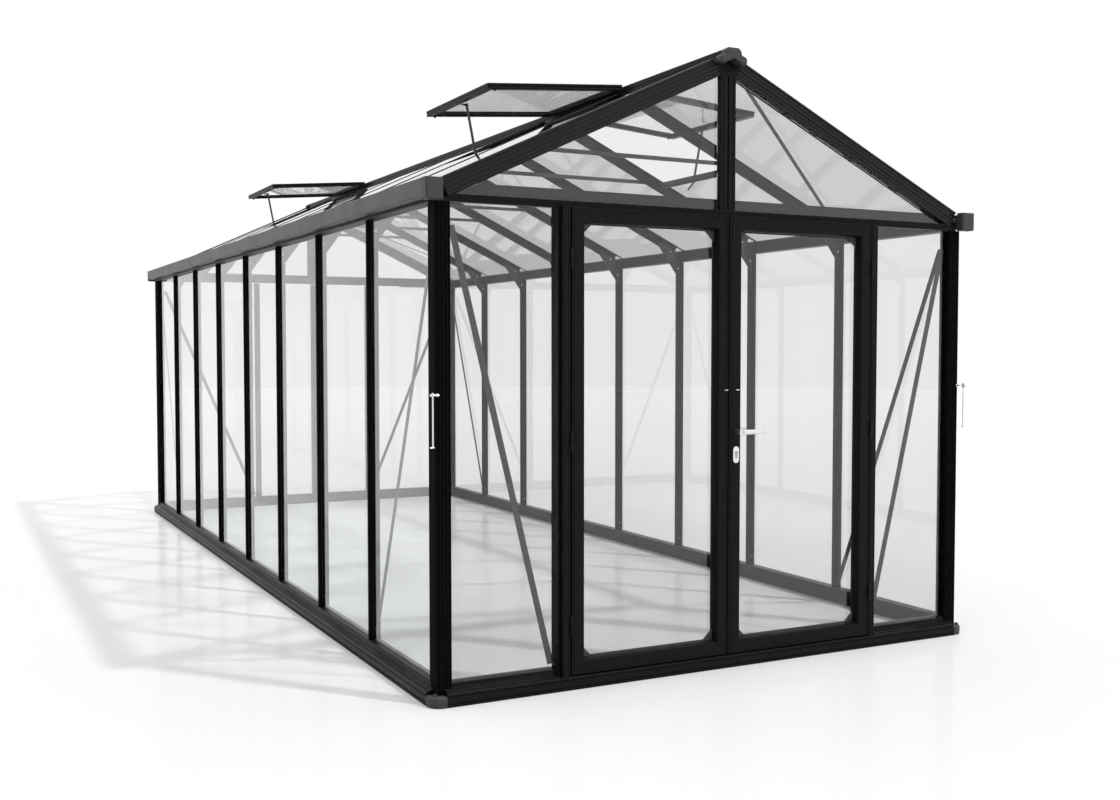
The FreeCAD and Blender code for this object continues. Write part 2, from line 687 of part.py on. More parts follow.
def gussets_and_bolts():
    """Haunch plates where each rafter meets its wall post, and the screws of the frame."""
    corner = f"({WALL_INNER} + Sizes.haunch_lap)"
    past_rail = f"({WALL_INNER} - 2)"
    tip = f"({WALL_INNER} - Sizes.haunch_reach)"
    plate = [
        (corner, "Sizes.eave_low - Sizes.haunch_drop"),
        (corner, "Sizes.eave_low - 2"),
        (past_rail, "Sizes.eave_low - 2"),
        (past_rail, "Sizes.eave_low + Sizes.haunch_rise"),
        (tip, "Sizes.eave_low + Sizes.haunch_tip_top"),
        (tip, "Sizes.eave_low + Sizes.haunch_tip_low"),
    ]
    on_post = (f"{WALL_INNER} + 12", "Sizes.eave_low - 40")
    on_rafter = (f"{WALL_INNER} - 45", "Sizes.eave_low + 62")
    bolt = ("Sizes.bolt_radius", "Sizes.bolt_head")
    plates = []
    bolts = []
    for bar in BARS:
        low = f"({bar_y(bar)} - Sizes.web_thick / 2 - Sizes.flange_thick)"
        plates.append(outline(f"haunch_{bar + 4}", plate, low, f"{low} + Sizes.flange_thick"))
        for place, (across, height) in (("post", on_post), ("rafter", on_rafter)):
            head = (across, f"{low} - Sizes.bolt_head", height)
            bolts.append(cylinder(f"haunch_bolt_{place}_{bar + 4}", head, "y", *bolt))
        foot_bolts = (("left", "-", "Sizes.foot_bolt_low"), ("right", "+", "Sizes.foot_bolt_high"))
        for place, sign, height in foot_bolts:
            along = f"{bar_y(bar)} {sign} Sizes.foot_bolt_side"
            head = (f"{FLANGE_FACE} - Sizes.bolt_head", along, height)
            bolts.append(cylinder(f"foot_bolt_{place}_{bar + 4}", head, "x", *bolt))
    node("haunch_gussets", both_sides("haunch_gussets", plates))
    node("frame_bolts", both_sides("frame_bolts", bolts))


def wall_brace(name, x, start, end):
    """Flat bar in an upright plane along the wall, from one (y, z) to another."""
    run = f"(({end[0]}) - ({start[0]}))"
    rise = f"(({end[1]}) - ({start[1]}))"
    bar = doc.addObject("Part::Box", name)
    bar.setExpression("Length", "Sizes.brace_thick")
    bar.setExpression("Height", "Sizes.brace_wide")
    bar.setExpression("Width", f"sqrt({run} * {run} + {rise} * {rise})")
    bar.Placement = FreeCAD.Placement(FreeCAD.Vector(), FreeCAD.Rotation(FreeCAD.Vector(1, 0, 0), 1))
    bar.setExpression("Placement.Rotation.Angle", f"atan2({rise}; {run})")
    bar.setExpression("Placement.Base.x", x)
    bar.setExpression("Placement.Base.y", start[0])
    bar.setExpression("Placement.Base.z", start[1])
    return bar


def gable_brace(name, y, start, end):
    """Flat bar in an upright plane across the gable, from one (x, z) to another."""
    run = f"(({end[0]}) - ({start[0]}))"
    rise = f"(({end[1]}) - ({start[1]}))"
    bar = doc.addObject("Part::Box", name)
    bar.setExpression("Length", f"sqrt({run} * {run} + {rise} * {rise})")
    bar.setExpression("Width", "Sizes.brace_thick")
    bar.setExpression("Height", "Sizes.brace_wide")
    bar.Placement = FreeCAD.Placement(FreeCAD.Vector(), FreeCAD.Rotation(FreeCAD.Vector(0, -1, 0), 1))
    bar.setExpression("Placement.Rotation.Angle", f"atan2({rise}; {run})")
    bar.setExpression("Placement.Base.x", start[0])
    bar.setExpression("Placement.Base.y", y)
    bar.setExpression("Placement.Base.z", start[1])
    return bar


def braces():
    """Flat diagonal bars: end bays of the walls and roof, side lights and rear gable."""
    foot = (f"({bar_y(BARS[-1])} + 30)", "Sizes.brace_foot")
    head = (f"({POST_START} - 12)", "Sizes.brace_head")
    wall = wall_brace("wall_brace", f"({FLANGE_FACE} - 9)", foot, head)
    wall_braces = four_corners("wall_braces", [wall])

    behind_glass = f"({GABLE_GLASS_IN} - 8)"
    gable_head = (f"({POST_INNER} - 3)", "Sizes.brace_head")
    light_foot = ("(Sizes.jamb_outer + 26)", "Sizes.brace_foot")
    light = gable_brace("light_brace", behind_glass, light_foot, gable_head)
    light_braces = both_sides("light_braces", [light])
    rear_foot = ("(Sizes.rear_post_at + 46)", "Sizes.brace_foot")
    rear = gable_brace("rear_brace", behind_glass, rear_foot, gable_head)
    rear_braces = both_sides("rear_braces", [rear])
    front_lights = mirrored("front_light_braces", light_braces, "y")

    run = "(Sizes.bay_pitch - Sizes.roof_brace_short)"
    fall = "(Sizes.roof_end - Sizes.roof_start - Sizes.roof_brace_short)"
    bar = doc.addObject("Part::Box", "roof_brace_bar")
    bar.setExpression("Length", f"sqrt({run} * {run} + {fall} * {fall})")
    bar.setExpression("Width", "Sizes.tie_depth")
    bar.setExpression("Height", "Sizes.brace_thick")
    bar.Placement = FreeCAD.Placement(FreeCAD.Vector(), FreeCAD.Rotation(FreeCAD.Vector(0, 0, -1), 1))
    bar.setExpression("Placement.Rotation.Angle", f"atan2({run}; {fall})")
    bar.setExpression("Placement.Base.x", "Sizes.roof_start + Sizes.roof_brace_start")
    bar.setExpression("Placement.Base.y", f"{bar_y(BAYS[-1] + 1)} - Sizes.roof_brace_side")
    bar.setExpression("Placement.Base.z", "-Sizes.roof_brace_drop")
    roof_braces = four_corners("roof_braces", [tilt(group("roof_brace", [bar]))])
    node("braces", group("braces", [wall_braces, front_lights, rear_braces, roof_braces]))


FRONT = f"(-{HALF_LENGTH})"
LEAF_FACE = f"({FRONT} - Sizes.door_proud)"
LEAF_BACK = f"({LEAF_FACE} + Sizes.leaf_thick)"
HINGE_HEIGHTS = ("250", "960", "1660")


def jambs_and_hinge_halves():
    """Door jambs, and the fixed half of each butt hinge: plate, middle knuckle and pin."""
    height = ("Sizes.base_height", "Sizes.tie_beam_low")
    jamb_back = f"{FRONT} + Sizes.jamb_depth"
    face_x = ("Sizes.jamb_inner", "Sizes.jamb_face")
    jamb = fuse(
        "jamb",
        tube("jamb_face", face_x, (f"{LEAF_FACE} + 2", jamb_back), height, "z"),
        box("jamb_flange", ("Sizes.jamb_face", "Sizes.jamb_outer"), (f"{FRONT} - 7", jamb_back), height),
    )
    node("door_jambs", both_sides("door_jambs", [jamb]))

    hinge_y = f"({FRONT} - Sizes.hinge_out)"
    plate_x = ("Sizes.jamb_inner - Sizes.hinge_plate", "Sizes.jamb_inner")
    halves = []
    for index, middle in enumerate(HINGE_HEIGHTS):
        low = f"({middle} - Sizes.knuckle / 2)"
        high = f"({middle} + Sizes.knuckle / 2)"
        start = f"({middle} - 1.5 * Sizes.knuckle - 1)"
        end = f"({middle} + 1.5 * Sizes.knuckle + 1)"
        knuckle_foot = ("Sizes.hinge_at", hinge_y, low)
        pin_foot = ("Sizes.hinge_at", hinge_y, start)
        knuckle = cylinder(f"knuckle_{index}", knuckle_foot, "z", "Sizes.hinge_radius", "Sizes.knuckle")
        pin = cylinder(f"hinge_pin_{index}", pin_foot, "z", "Sizes.hinge_pin", f"{end} - {start}")
        tab = box(f"hinge_tab_{index}", plate_x, (f"{hinge_y} + 3", f"{hinge_y} + 5"), (low, high))
        plate = box(f"hinge_plate_{index}", plate_x, (f"{hinge_y} + 5", f"{FRONT} - 5"), (start, end))
        halves.append(fuse(f"fixed_hinge_{index}", knuckle, pin, tab, plate))
    node("door_hinge_brackets", both_sides("door_hinge_brackets", halves))


def moving_hinges():
    """Leaf half of each butt hinge of the right door: plate and outer knuckles, bored for the pin."""
    hinge_y = f"({FRONT} - Sizes.hinge_out)"
    plate_x = ("Sizes.leaf_outer", "Sizes.leaf_outer + Sizes.hinge_plate")
    reach = "(1.5 * Sizes.knuckle + Sizes.hinge_gap)"
    knuckle = ("Sizes.hinge_radius", "Sizes.knuckle")
    halves = []
    for index, middle in enumerate(HINGE_HEIGHTS):
        start = f"({middle} - {reach})"
        end = f"({middle} + {reach})"
        upper = f"({middle} + Sizes.knuckle / 2 + Sizes.hinge_gap)"
        plate_name = f"leaf_hinge_plate_{index}"
        solids = [box(plate_name, plate_x, (f"{hinge_y} + 5", f"{FRONT} - 5"), (start, end))]
        for place, low in (("lower", start), ("upper", upper)):
            name = f"{index}_{place}"
            foot = ("Sizes.hinge_at", hinge_y, low)
            tab_y = (f"{hinge_y} + 3", f"{hinge_y} + 5")
            solids.append(cylinder(f"leaf_knuckle_{name}", foot, "z", *knuckle))
            solids.append(box(f"leaf_tab_{name}", plate_x, tab_y, (low, f"{low} + Sizes.knuckle")))
        bore_foot = ("Sizes.hinge_at", hinge_y, f"{start} - 1")
        bore = cylinder(f"leaf_bore_{index}", bore_foot, "z", "Sizes.hinge_bore", f"2 * {reach} + 2")
        halves.append(cut(f"leaf_hinge_{index}", fuse(f"leaf_hinge_blank_{index}", *solids), bore))
    return group("leaf_hinges", halves)


def leaf(side, outer, meeting):
    """Frame, glass and corner plates of a door leaf between its outer and meeting stiles."""
    low, high = sorted((outer, meeting), key=lambda span: value(span[0]))
    y = (LEAF_FACE, LEAF_BACK)
    height = ("Sizes.leaf_low", "Sizes.leaf_top")
    between = (low[1], high[0])
    rail = "Sizes.stile_width"
    lower = tube(f"{side}_bottom_rail", between, y, (height[0], f"{height[0]} + {rail}"), "x")
    upper = tube(f"{side}_top_rail", between, y, (f"{height[1]} - {rail}", height[1]), "x")
    outer_stile = tube(f"{side}_outer_stile", outer, y, height, "z")
    meeting_stile = tube(f"{side}_meeting_stile", meeting, y, height, "z")
    glass_y = (f"{FRONT} + Sizes.leaf_glass_in", f"{FRONT} + Sizes.leaf_glass_in + Sizes.glass_thick")
    glass = box(f"{side}_leaf_glass", between, glass_y, (f"{height[0]} + {rail}", f"{height[1]} - {rail}"))
    node(f"door_{side}_glass", glass)

    plate_y = (f"{glass_y[0]} - 6", f"{glass_y[0]} - 1")
    legs = (("bottom", f"({height[0]} + {rail})", "1"), ("top", f"({height[1]} - {rail})", "-1"))
    plates = []
    for place, z, up in legs:
        for end, x, inward in (("low", low[1], "1"), ("high", high[0], "-1")):
            corners = [(x, z), (f"{x} + {inward} * 45", z), (x, f"{z} + {up} * 45")]
            plates.append(outline(f"{side}_corner_{place}_{end}", corners, *plate_y))
    node(f"door_{side}_corner_plates", group(f"door_{side}_corner_plates", plates))
    return [lower, upper, outer_stile], meeting_stile


def hook_eye(side, x):
    """Screw eye on a meeting stile that the door hook catches when the leaf is folded back."""
    eye_y = f"({LEAF_FACE} - 11)"
    ring = doc.addObject("Part::Torus", f"{side}_eye_ring")
    ring.setExpression("Radius1", "Sizes.eye_radius")
    ring.setExpression("Radius2", "Sizes.eye_wire")
    ring.setExpression("Placement.Base.x", x)
    ring.setExpression("Placement.Base.y", eye_y)
    ring.setExpression("Placement.Base.z", "Sizes.hook_height")
    shank = cylinder(f"{side}_eye_shank", (x, f"{LEAF_FACE} - 4", "Sizes.hook_height"), "y", "2", "4")
    node(f"door_{side}_hook_eye", fuse(f"door_{side}_hook_eye", ring, shank))


def lock_hole(name, low, high, clear):
    """Through hole for the key cylinder and one for the lever's spindle."""
    depth = f"({high}) - ({low})"
    lock_z = "(Sizes.lever_height - Sizes.lock_drop)"
    radius = f"Sizes.lock_barrel + {clear}"
    fin_half = f"(Sizes.lock_fin_half + {clear})"
    return [
        cylinder(f"{name}_barrel", ("Sizes.lock_at", low, lock_z), "y", radius, depth),
        box(
            f"{name}_fin",
            (f"Sizes.lock_at - {fin_half}", f"Sizes.lock_at + {fin_half}"),
            (low, high),
            (f"{lock_z} - Sizes.lock_fin_drop - {clear}", lock_z),
        ),
    ]


def doors():
    """Both leaves, the lock and the lever handle."""
    outer_left = ("-Sizes.leaf_outer", "-Sizes.leaf_outer + Sizes.stile_width")
    meeting_left = ("Sizes.left_meeting_low", "Sizes.left_meeting_high")
    members, meeting = leaf("left", outer_left, meeting_left)
    node("door_left_frame", group("door_left_frame", members + [meeting]))
    hook_eye("left", "-33")

    outer_right = ("Sizes.leaf_outer - Sizes.stile_width", "Sizes.leaf_outer")
    meeting_right = ("Sizes.right_meeting_low", "Sizes.right_meeting_high")
    members, meeting = leaf("right", outer_right, meeting_right)
    hinges = moving_hinges()
    node("door_right_hinges", hinges)
    node("door_left_hinges", mirrored("door_left_hinges", hinges))
    hook_eye("right", "Sizes.lock_at")

    latch_z = ("Sizes.lever_height + 13", "Sizes.lever_height + 29")
    latch_y = (f"{FRONT} - 10", f"{FRONT} + 1")
    through = (f"{LEAF_FACE} - 1", f"{LEAF_BACK} + 1")
    spindle_at = ("Sizes.lock_at", through[0], "Sizes.lever_height")
    spindle_hole = cylinder("stile_spindle_hole", spindle_at, "y", "8", f"{through[1]} - ({through[0]})")
    latch_hole = box(
        "stile_latch_hole",
        ("Sizes.right_meeting_low - 1", "Sizes.right_meeting_low + 6"),
        (f"{latch_y[0]} - 1", f"{latch_y[1]} + 1"),
        (f"{latch_z[0]} - 1", f"{latch_z[1]} + 1"),
    )
    stile_holes = fuse("stile_holes", spindle_hole, latch_hole, *lock_hole("stile_lock", *through, "0.8"))
    node("door_right_frame", group("door_right_frame", members + [cut("lock_stile", meeting, stile_holes)]))

    case_y = (f"{FRONT} - 14", f"{FRONT} + 5")
    case = box(
        "lock_case_blank",
        ("Sizes.lock_at - 23", "Sizes.lock_at + 25"),
        case_y,
        ("Sizes.lever_height - 130", "Sizes.lever_height + 40"),
    )
    latch_pocket = box(
        "latch_pocket",
        ("Sizes.lock_at - 24", "Sizes.lock_at + 20"),
        (f"{latch_y[0]} - 0.5", f"{latch_y[1]} + 0.5"),
        (f"{latch_z[0]} - 0.5", f"{latch_z[1]} + 0.5"),
    )
    hub = ("Sizes.lock_at", f"{case_y[0]} - 1", "Sizes.lever_height")
    hub_hole = cylinder("hub_hole", hub, "y", "8", f"{case_y[1]} - ({case_y[0]}) + 2")
    case_through = (f"{case_y[0]} - 1", f"{case_y[1]} + 1")
    case_holes = fuse("case_holes", latch_pocket, hub_hole, *lock_hole("case_lock", *case_through, "0.4"))
    node("lock_case", cut("lock_case", case, case_holes))

    plates = []
    for place, low, high in (
        ("outer", f"({LEAF_FACE} - 8)", LEAF_FACE),
        ("inner", LEAF_BACK, f"({LEAF_BACK} + 8)"),
    ):
        thick = f"{high} - {low}"
        solids = []
        for end, z in (("top", "Sizes.lever_height - 74"), ("bottom", "Sizes.lever_height - 114")):
            solids.append(cylinder(f"{place}_oval_{end}", ("Sizes.lock_at", low, z), "y", "15", thick))
        reach = ("Sizes.lock_at - 15", "Sizes.lock_at + 15")
        height = ("Sizes.lever_height - 114", "Sizes.lever_height - 74")
        solids.append(box(f"{place}_oval_middle", reach, (low, high), height))
        oval = fuse(f"{place}_oval", *solids)
        key_hole = lock_hole(f"{place}_plate_lock", f"{low} - 1", f"{high} + 1", "0.4")
        keyway = fuse(f"{place}_keyway", *key_hole)
        plates.append(cut(f"{place}_escutcheon", oval, keyway))
    node("lock_escutcheons", group("lock_escutcheons", plates))
    barrel = lock_hole("key_cylinder", f"{LEAF_FACE} - 10", f"{LEAF_BACK} + 10", "0")
    node("key_cylinder", fuse("key_cylinder", *barrel))

    tongue = ("Sizes.right_meeting_low - 4", "Sizes.lock_at + 8")
    node("latch_bolt", box("latch_bolt", tongue, latch_y, latch_z))

    spindle_reach = (f"{LEAF_FACE} - 2", f"{LEAF_BACK} + 2")
    level = ("Sizes.lever_height - 4", "Sizes.lever_height + 4")
    solids = [box("spindle", ("Sizes.lock_at - 4", "Sizes.lock_at + 4"), spindle_reach, level)]
    for place, near, far in (
        ("outer", f"({LEAF_FACE} - 2)", f"({LEAF_FACE} - Sizes.lever_out)"),
        ("inner", f"({LEAF_BACK} + 2)", f"({LEAF_BACK} + Sizes.lever_out)"),
    ):
        neck_y = (far, near) if place == "outer" else (near, far)
        grip_y = (far, f"{far} + 12") if place == "outer" else (f"{far} - 12", far)
        neck = ("Sizes.lock_at - 10", "Sizes.lock_at + 10")
        neck_z = ("Sizes.lever_height - 12", "Sizes.lever_height + 12")
        grip_x = ("Sizes.lock_at + 10", "Sizes.lock_at + Sizes.lever_reach")
        grip_z = ("Sizes.lever_height - 10", "Sizes.lever_height + 10")
        solids.append(box(f"lever_neck_{place}", neck, neck_y, neck_z))
        solids.append(box(f"lever_grip_{place}", grip_x, grip_y, grip_z))
    node("lever_handle", group("lever_handle", solids))


def door_hooks():
    """Bent studs on the front of the corner posts, each with a hook that hangs from its outer arm."""
    stud_x = f"({HALF_WIDTH} - Sizes.hook_inset)"
    hook_x = f"({HALF_WIDTH} + Sizes.hook_side)"
    hook_y = f"({FRONT} - Sizes.hook_out)"
    arm_end = f"{hook_x} + Sizes.hook_arm"
    arm_length = "Sizes.hook_inset + Sizes.hook_side + Sizes.hook_arm"
    head_start = (arm_end, hook_y, "Sizes.hook_height")
    foot_start = (stud_x, f"{FRONT} - Sizes.stud_plate", "Sizes.hook_height")
    bend = (stud_x, hook_y, "Sizes.hook_height")
    stud = fuse(
        "hook_stud",
        cylinder("stud_shank", bend, "y", "Sizes.stud_radius", "Sizes.hook_out"),
        cylinder("stud_arm", bend, "x", "Sizes.stud_radius", arm_length),
        cylinder("stud_head", head_start, "x", "Sizes.stud_head", "Sizes.stud_head_thick"),
        cylinder("stud_foot", foot_start, "y", "Sizes.stud_foot", "Sizes.stud_plate"),
    )
    node("hook_studs", both_sides("hook_studs", [stud]))

    loop = doc.addObject("Part::Torus", "hook_loop")
    loop.setExpression("Radius1", "Sizes.hook_loop")
    loop.setExpression("Radius2", "Sizes.rod")
    across = FreeCAD.Rotation(FreeCAD.Vector(0, 1, 0), 90)
    loop.Placement = FreeCAD.Placement(FreeCAD.Vector(), across)
    loop.setExpression("Placement.Base.x", hook_x)
    loop.setExpression("Placement.Base.y", hook_y)
    loop.setExpression("Placement.Base.z", "Sizes.hook_height")
    low = "(Sizes.hook_height - Sizes.hook_length)"
    rod_length = "Sizes.hook_length - Sizes.hook_loop - 1"
    rod = cylinder("hook_rod", (hook_x, hook_y, low), "z", "Sizes.rod", rod_length)
    tip_foot = (f"{hook_x} - Sizes.hook_heel", hook_y, low)
    tip = cylinder("hook_tip", tip_foot, "x", "Sizes.rod", "Sizes.hook_tip")
    hook = fuse("hook_right", loop, rod, tip)
    node("door_hook_right", hook)
    node("door_hook_left", mirrored("door_hook_left", hook))


def vent(name, side, bay):
    """One roof vent: frame, glass, buffers and stay, standing open."""
    middle = f"({bar_y(bay)} + Sizes.bay_pitch / 2)"
    half = "(Sizes.vent_width / 2)"
    rail = "Sizes.vent_rail"
    near = "Sizes.vent_hinge_gap"
    far = "(Sizes.vent_length + Sizes.vent_hinge_gap)"
    z = ("-Sizes.vent_frame / 2", "Sizes.vent_frame / 2")
    full = (f"{middle} - {half}", f"{middle} + {half}")
    inside_x = (f"{near} + {rail}", f"{far} - Sizes.vent_low_rail")
    inside_y = (f"{middle} - {half} + {rail}", f"{middle} + {half} - {rail}")
    lug_y = (f"{middle} - Sizes.lug_near", f"{middle} - Sizes.lug_far")
    pivot_x = f"({far} - Sizes.pivot_setback)"
    pivot_z = "-Sizes.pivot_drop"
    lug_x = (f"{pivot_x} - Sizes.lug_reach", f"{far} - Sizes.lug_setback")
    lug = cut(
        f"{name}_lug",
        box(f"{name}_lug_blank", lug_x, lug_y, ("-Sizes.lug_low", z[0])),
        cylinder(f"{name}_lug_bore", (pivot_x, f"{middle} - 6", pivot_z), "y", "Sizes.lug_bore", "5"),
    )
    frame = [
        tube(f"{name}_top_rail", (near, inside_x[0]), full, z, "y"),
        tube(f"{name}_bottom_rail", (inside_x[1], far), full, z, "y"),
        tube(f"{name}_side_low", inside_x, (full[0], inside_y[0]), z, "x"),
        tube(f"{name}_side_high", inside_x, (inside_y[1], full[1]), z, "x"),
        lug,
    ]
    glass_z = ("-Sizes.glass_thick / 2", "Sizes.glass_thick / 2")
    glass = box(f"{name}_pane", inside_x, inside_y, glass_z)
    buffers = []
    buffer_low = f"{z[0]} - Sizes.buffer_height"
    buffer_size = ("Sizes.buffer_radius", "Sizes.buffer_height")
    for index, y in enumerate((f"{full[0]} + Sizes.buffer_side", f"{full[1]} - Sizes.buffer_side")):
        foot = (f"{far} - Sizes.buffer_setback", y, buffer_low)
        buffers.append(cylinder(f"{name}_buffer_{index}", foot, "z", *buffer_size))
    pitch = "Sizes.roof_pitch - Sizes.vent_open"
    for part, solids in (("frame", frame), ("glass", [glass]), ("buffers", buffers)):
        flat = group(f"{name}_{part}_slope", solids)
        slope = tilt(flat, pitch, "Sizes.vent_hinge_x", "Sizes.vent_hinge_z")
        node(f"{name}_{part}", mirrored(f"{name}_{part}_left", slope) if side == "left" else slope)

    thick = (f"{middle} - Sizes.stay_thick / 2", f"{middle} + Sizes.stay_thick / 2")
    bar_z = ("Sizes.stay_top_gap - Sizes.stay_length", "Sizes.stay_head")
    bar = box(f"{name}_stay_bar", ("-Sizes.stay_half", "Sizes.stay_half"), thick, bar_z)
    tail_z = ("-Sizes.tail_length", "Sizes.tail_lap")
    tail = box(f"{name}_stay_tail", ("-Sizes.tail_half", "Sizes.tail_half"), thick, tail_z)
    tail_turn = FreeCAD.Rotation(FreeCAD.Vector(0, 1, 0), value("Sizes.tail_turn"))
    tail.Placement = FreeCAD.Placement(tail.Placement.Base, tail_turn)
    tail.setExpression("Placement.Base.x", "-Sizes.tail_shift")
    tail.setExpression("Placement.Base.z", "-Sizes.tail_lap - Sizes.stay_length")
    pin = cylinder(f"{name}_stay_pin", ("0", f"{middle} - 6", "0"), "y", "Sizes.stay_pin", "7")
    stay = group(f"{name}_stay_upright", [fuse(f"{name}_stay_solid", bar, tail, pin)])
    tilt(stay, "Sizes.stay_lean", "0", "0")
    stay.setExpression(
        "Placement.Base.x",
        f"Sizes.vent_hinge_x + {pivot_x} * cos({pitch}) + ({pivot_z}) * sin({pitch})",
    )
    stay.setExpression(
        "Placement.Base.z",
        f"Sizes.vent_hinge_z - {pivot_x} * sin({pitch}) + ({pivot_z}) * cos({pitch})",
    )
    node(f"{name}_stay", mirrored(f"{name}_stay_left", stay) if side == "left" else stay)


def write_parts():
    """Check every object and sub-part, then write one STEP file for each sub-part."""
    doc.recompute()
    for item in doc.Objects:
        if "Invalid" in item.State or "Error" in item.State:
            raise RuntimeError(f"{item.Name} failed: {item.State}")
    for item in nodes:
        if item.Shape.isNull() or not item.Shape.isValid():
            raise RuntimeError(f"{item.Label} has no valid shape")
    os.makedirs("parts", exist_ok=True)
    for item in nodes:
        item.Shape.exportStep(f"parts/{item.Label}.step")
    print(len(nodes), "sub-parts written")


base_frame()
walls()
gutters()
gables()
roof()
gussets_and_bolts()
braces()
jambs_and_hinge_halves()
doors()
door_hooks()
vent("vent_left_front", "left", LEFT_VENT_BAYS[0])
vent("vent_left_rear", "left", LEFT_VENT_BAYS[1])
vent("vent_right_front", "right", RIGHT_VENT_BAYS[0])
write_parts()
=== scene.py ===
import math

import bmesh
import bpy
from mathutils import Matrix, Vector


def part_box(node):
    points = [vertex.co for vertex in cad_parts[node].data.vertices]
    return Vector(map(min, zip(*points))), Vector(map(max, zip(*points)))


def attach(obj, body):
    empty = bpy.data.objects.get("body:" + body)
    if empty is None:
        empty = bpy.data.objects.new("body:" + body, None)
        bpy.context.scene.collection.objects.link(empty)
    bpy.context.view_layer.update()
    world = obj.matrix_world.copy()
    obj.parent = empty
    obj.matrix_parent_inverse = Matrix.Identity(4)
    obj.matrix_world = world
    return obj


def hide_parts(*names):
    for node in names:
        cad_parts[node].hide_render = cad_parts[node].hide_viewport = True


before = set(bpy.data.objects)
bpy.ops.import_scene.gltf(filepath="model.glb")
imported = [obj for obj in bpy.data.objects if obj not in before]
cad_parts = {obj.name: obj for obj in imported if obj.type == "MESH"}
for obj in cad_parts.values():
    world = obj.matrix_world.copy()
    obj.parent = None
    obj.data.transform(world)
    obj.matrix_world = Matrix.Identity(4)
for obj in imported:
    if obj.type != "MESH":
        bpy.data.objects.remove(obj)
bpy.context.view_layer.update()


# Showroom: a pale, slightly polished floor under an even white sky, with one weak sun from the
# right that throws the frame's faint shadow to the left. None of it belongs to the greenhouse.
scene = bpy.context.scene
scene.view_settings.view_transform = "Standard"
sky = bpy.data.worlds.new("white_sky")
sky.use_nodes = True
sky.node_tree.nodes["Background"].inputs["Color"].default_value = (1.0, 1.0, 1.0, 1.0)
sky.node_tree.nodes["Background"].inputs["Strength"].default_value = 1.0
scene.world = sky

sun_data = bpy.data.lights.new("soft_sun", "SUN")
sun_data.energy = 1.25
sun_data.angle = math.radians(2.5)
sun = bpy.data.objects.new("soft_sun", sun_data)
sun.rotation_euler = Vector((-0.497, 0.611, -1.0)).to_track_quat("-Z", "Y").to_euler()
scene.collection.objects.link(sun)


def new_material(name, **values):
    """Material with its node tree and its shader; values are set on the shader's own sockets."""
    material = bpy.data.materials.new(name)
    material.use_nodes = True
    shader = material.node_tree.nodes["Principled BSDF"]
    for label, first_value in values.items():
        shader.inputs[label.replace("_", " ")].default_value = first_value
    return material, material.node_tree, shader


def raise_grain(tree, shader, height, strength, distance):
    """Bumps a shader's surface by a height socket."""
    bump = tree.nodes.new("ShaderNodeBump")
    bump.inputs["Strength"].default_value = strength
    bump.inputs["Distance"].default_value = distance
    tree.links.new(height, bump.inputs["Height"])
    tree.links.new(bump.outputs["Normal"], shader.inputs["Normal"])


floor_finish, floor_tree, floor_shader = new_material(
    "pale_floor",
    Base_Color=(0.760, 0.765, 0.765, 1.0),
    Roughness=0.12,
    Specular_IOR_Level=0.010,
    Emission_Color=(1.0, 1.0, 1.0, 1.0),
)
floor_seen = floor_tree.nodes.new("ShaderNodeLightPath")
floor_lift = floor_tree.nodes.new("ShaderNodeMath")
floor_lift.operation = "MULTIPLY"
floor_lift.inputs[1].default_value = 0.08
floor_tree.links.new(floor_seen.outputs["Is Camera Ray"], floor_lift.inputs[0])
floor_tree.links.new(floor_lift.outputs["Value"], floor_shader.inputs["Emission Strength"])
floor_mottle = floor_tree.nodes.new("ShaderNodeTexNoise")
floor_mottle.inputs["Scale"].default_value = 3.0
raise_grain(floor_tree, floor_shader, floor_mottle.outputs["Fac"], 0.02, 0.002)
FLOOR_REACH = 34.0
floor_mesh = bpy.data.meshes.new("floor")
floor_corners = [
    (FLOOR_REACH * math.cos(turn * math.pi / 32), FLOOR_REACH * math.sin(turn * math.pi / 32), -0.0005)
    for turn in range(64)
]
floor_mesh.from_pydata(floor_corners, [], [tuple(range(64))])
floor_mesh.materials.append(floor_finish)
floor = bpy.data.objects.new("floor", floor_mesh)
scene.collection.objects.link(floor)

camera_data = bpy.data.cameras.new("camera")
camera_data.lens = 39.45
camera_data.sensor_width = 36.0
camera_data.clip_end = 200.0
camera = bpy.data.objects.new("camera", camera_data)
camera.location = (-2.9214, -7.2088, 1.3193)
camera.rotation_euler = (math.radians(87.56), 0.0, math.radians(-27.3))
scene.collection.objects.link(camera)
scene.camera = camera


# Base rails: aluminium extrusions laid on the ground, powder coated black, with a toe lip, a long
# groove and a sloped top that sheds water. They are joined at mid length and run into the feet.
def effect(name, inputs, outputs):
    """Shader node group with number inputs, each with its first value, and number outputs."""
    group = bpy.data.node_groups.new(name, "ShaderNodeTree")
    for label, first_value in inputs:
        socket = group.interface.new_socket(label, in_out="INPUT", socket_type="NodeSocketFloat")
        socket.default_value = first_value
    for label in outputs:
        group.interface.new_socket(label, in_out="OUTPUT", socket_type="NodeSocketFloat")
    return group, group.nodes.new("NodeGroupInput"), group.nodes.new("NodeGroupOutput")


def sum_node(group, operation, first, second):
    """Math node in a group or material; first and second are sockets or numbers."""
    step = group.nodes.new("ShaderNodeMath")
    step.operation = operation
    for socket, source in zip(step.inputs, (first, second)):
        if isinstance(source, (int, float)):
            socket.default_value = source
        else:
            group.links.new(source, socket)
    return step.outputs[0]


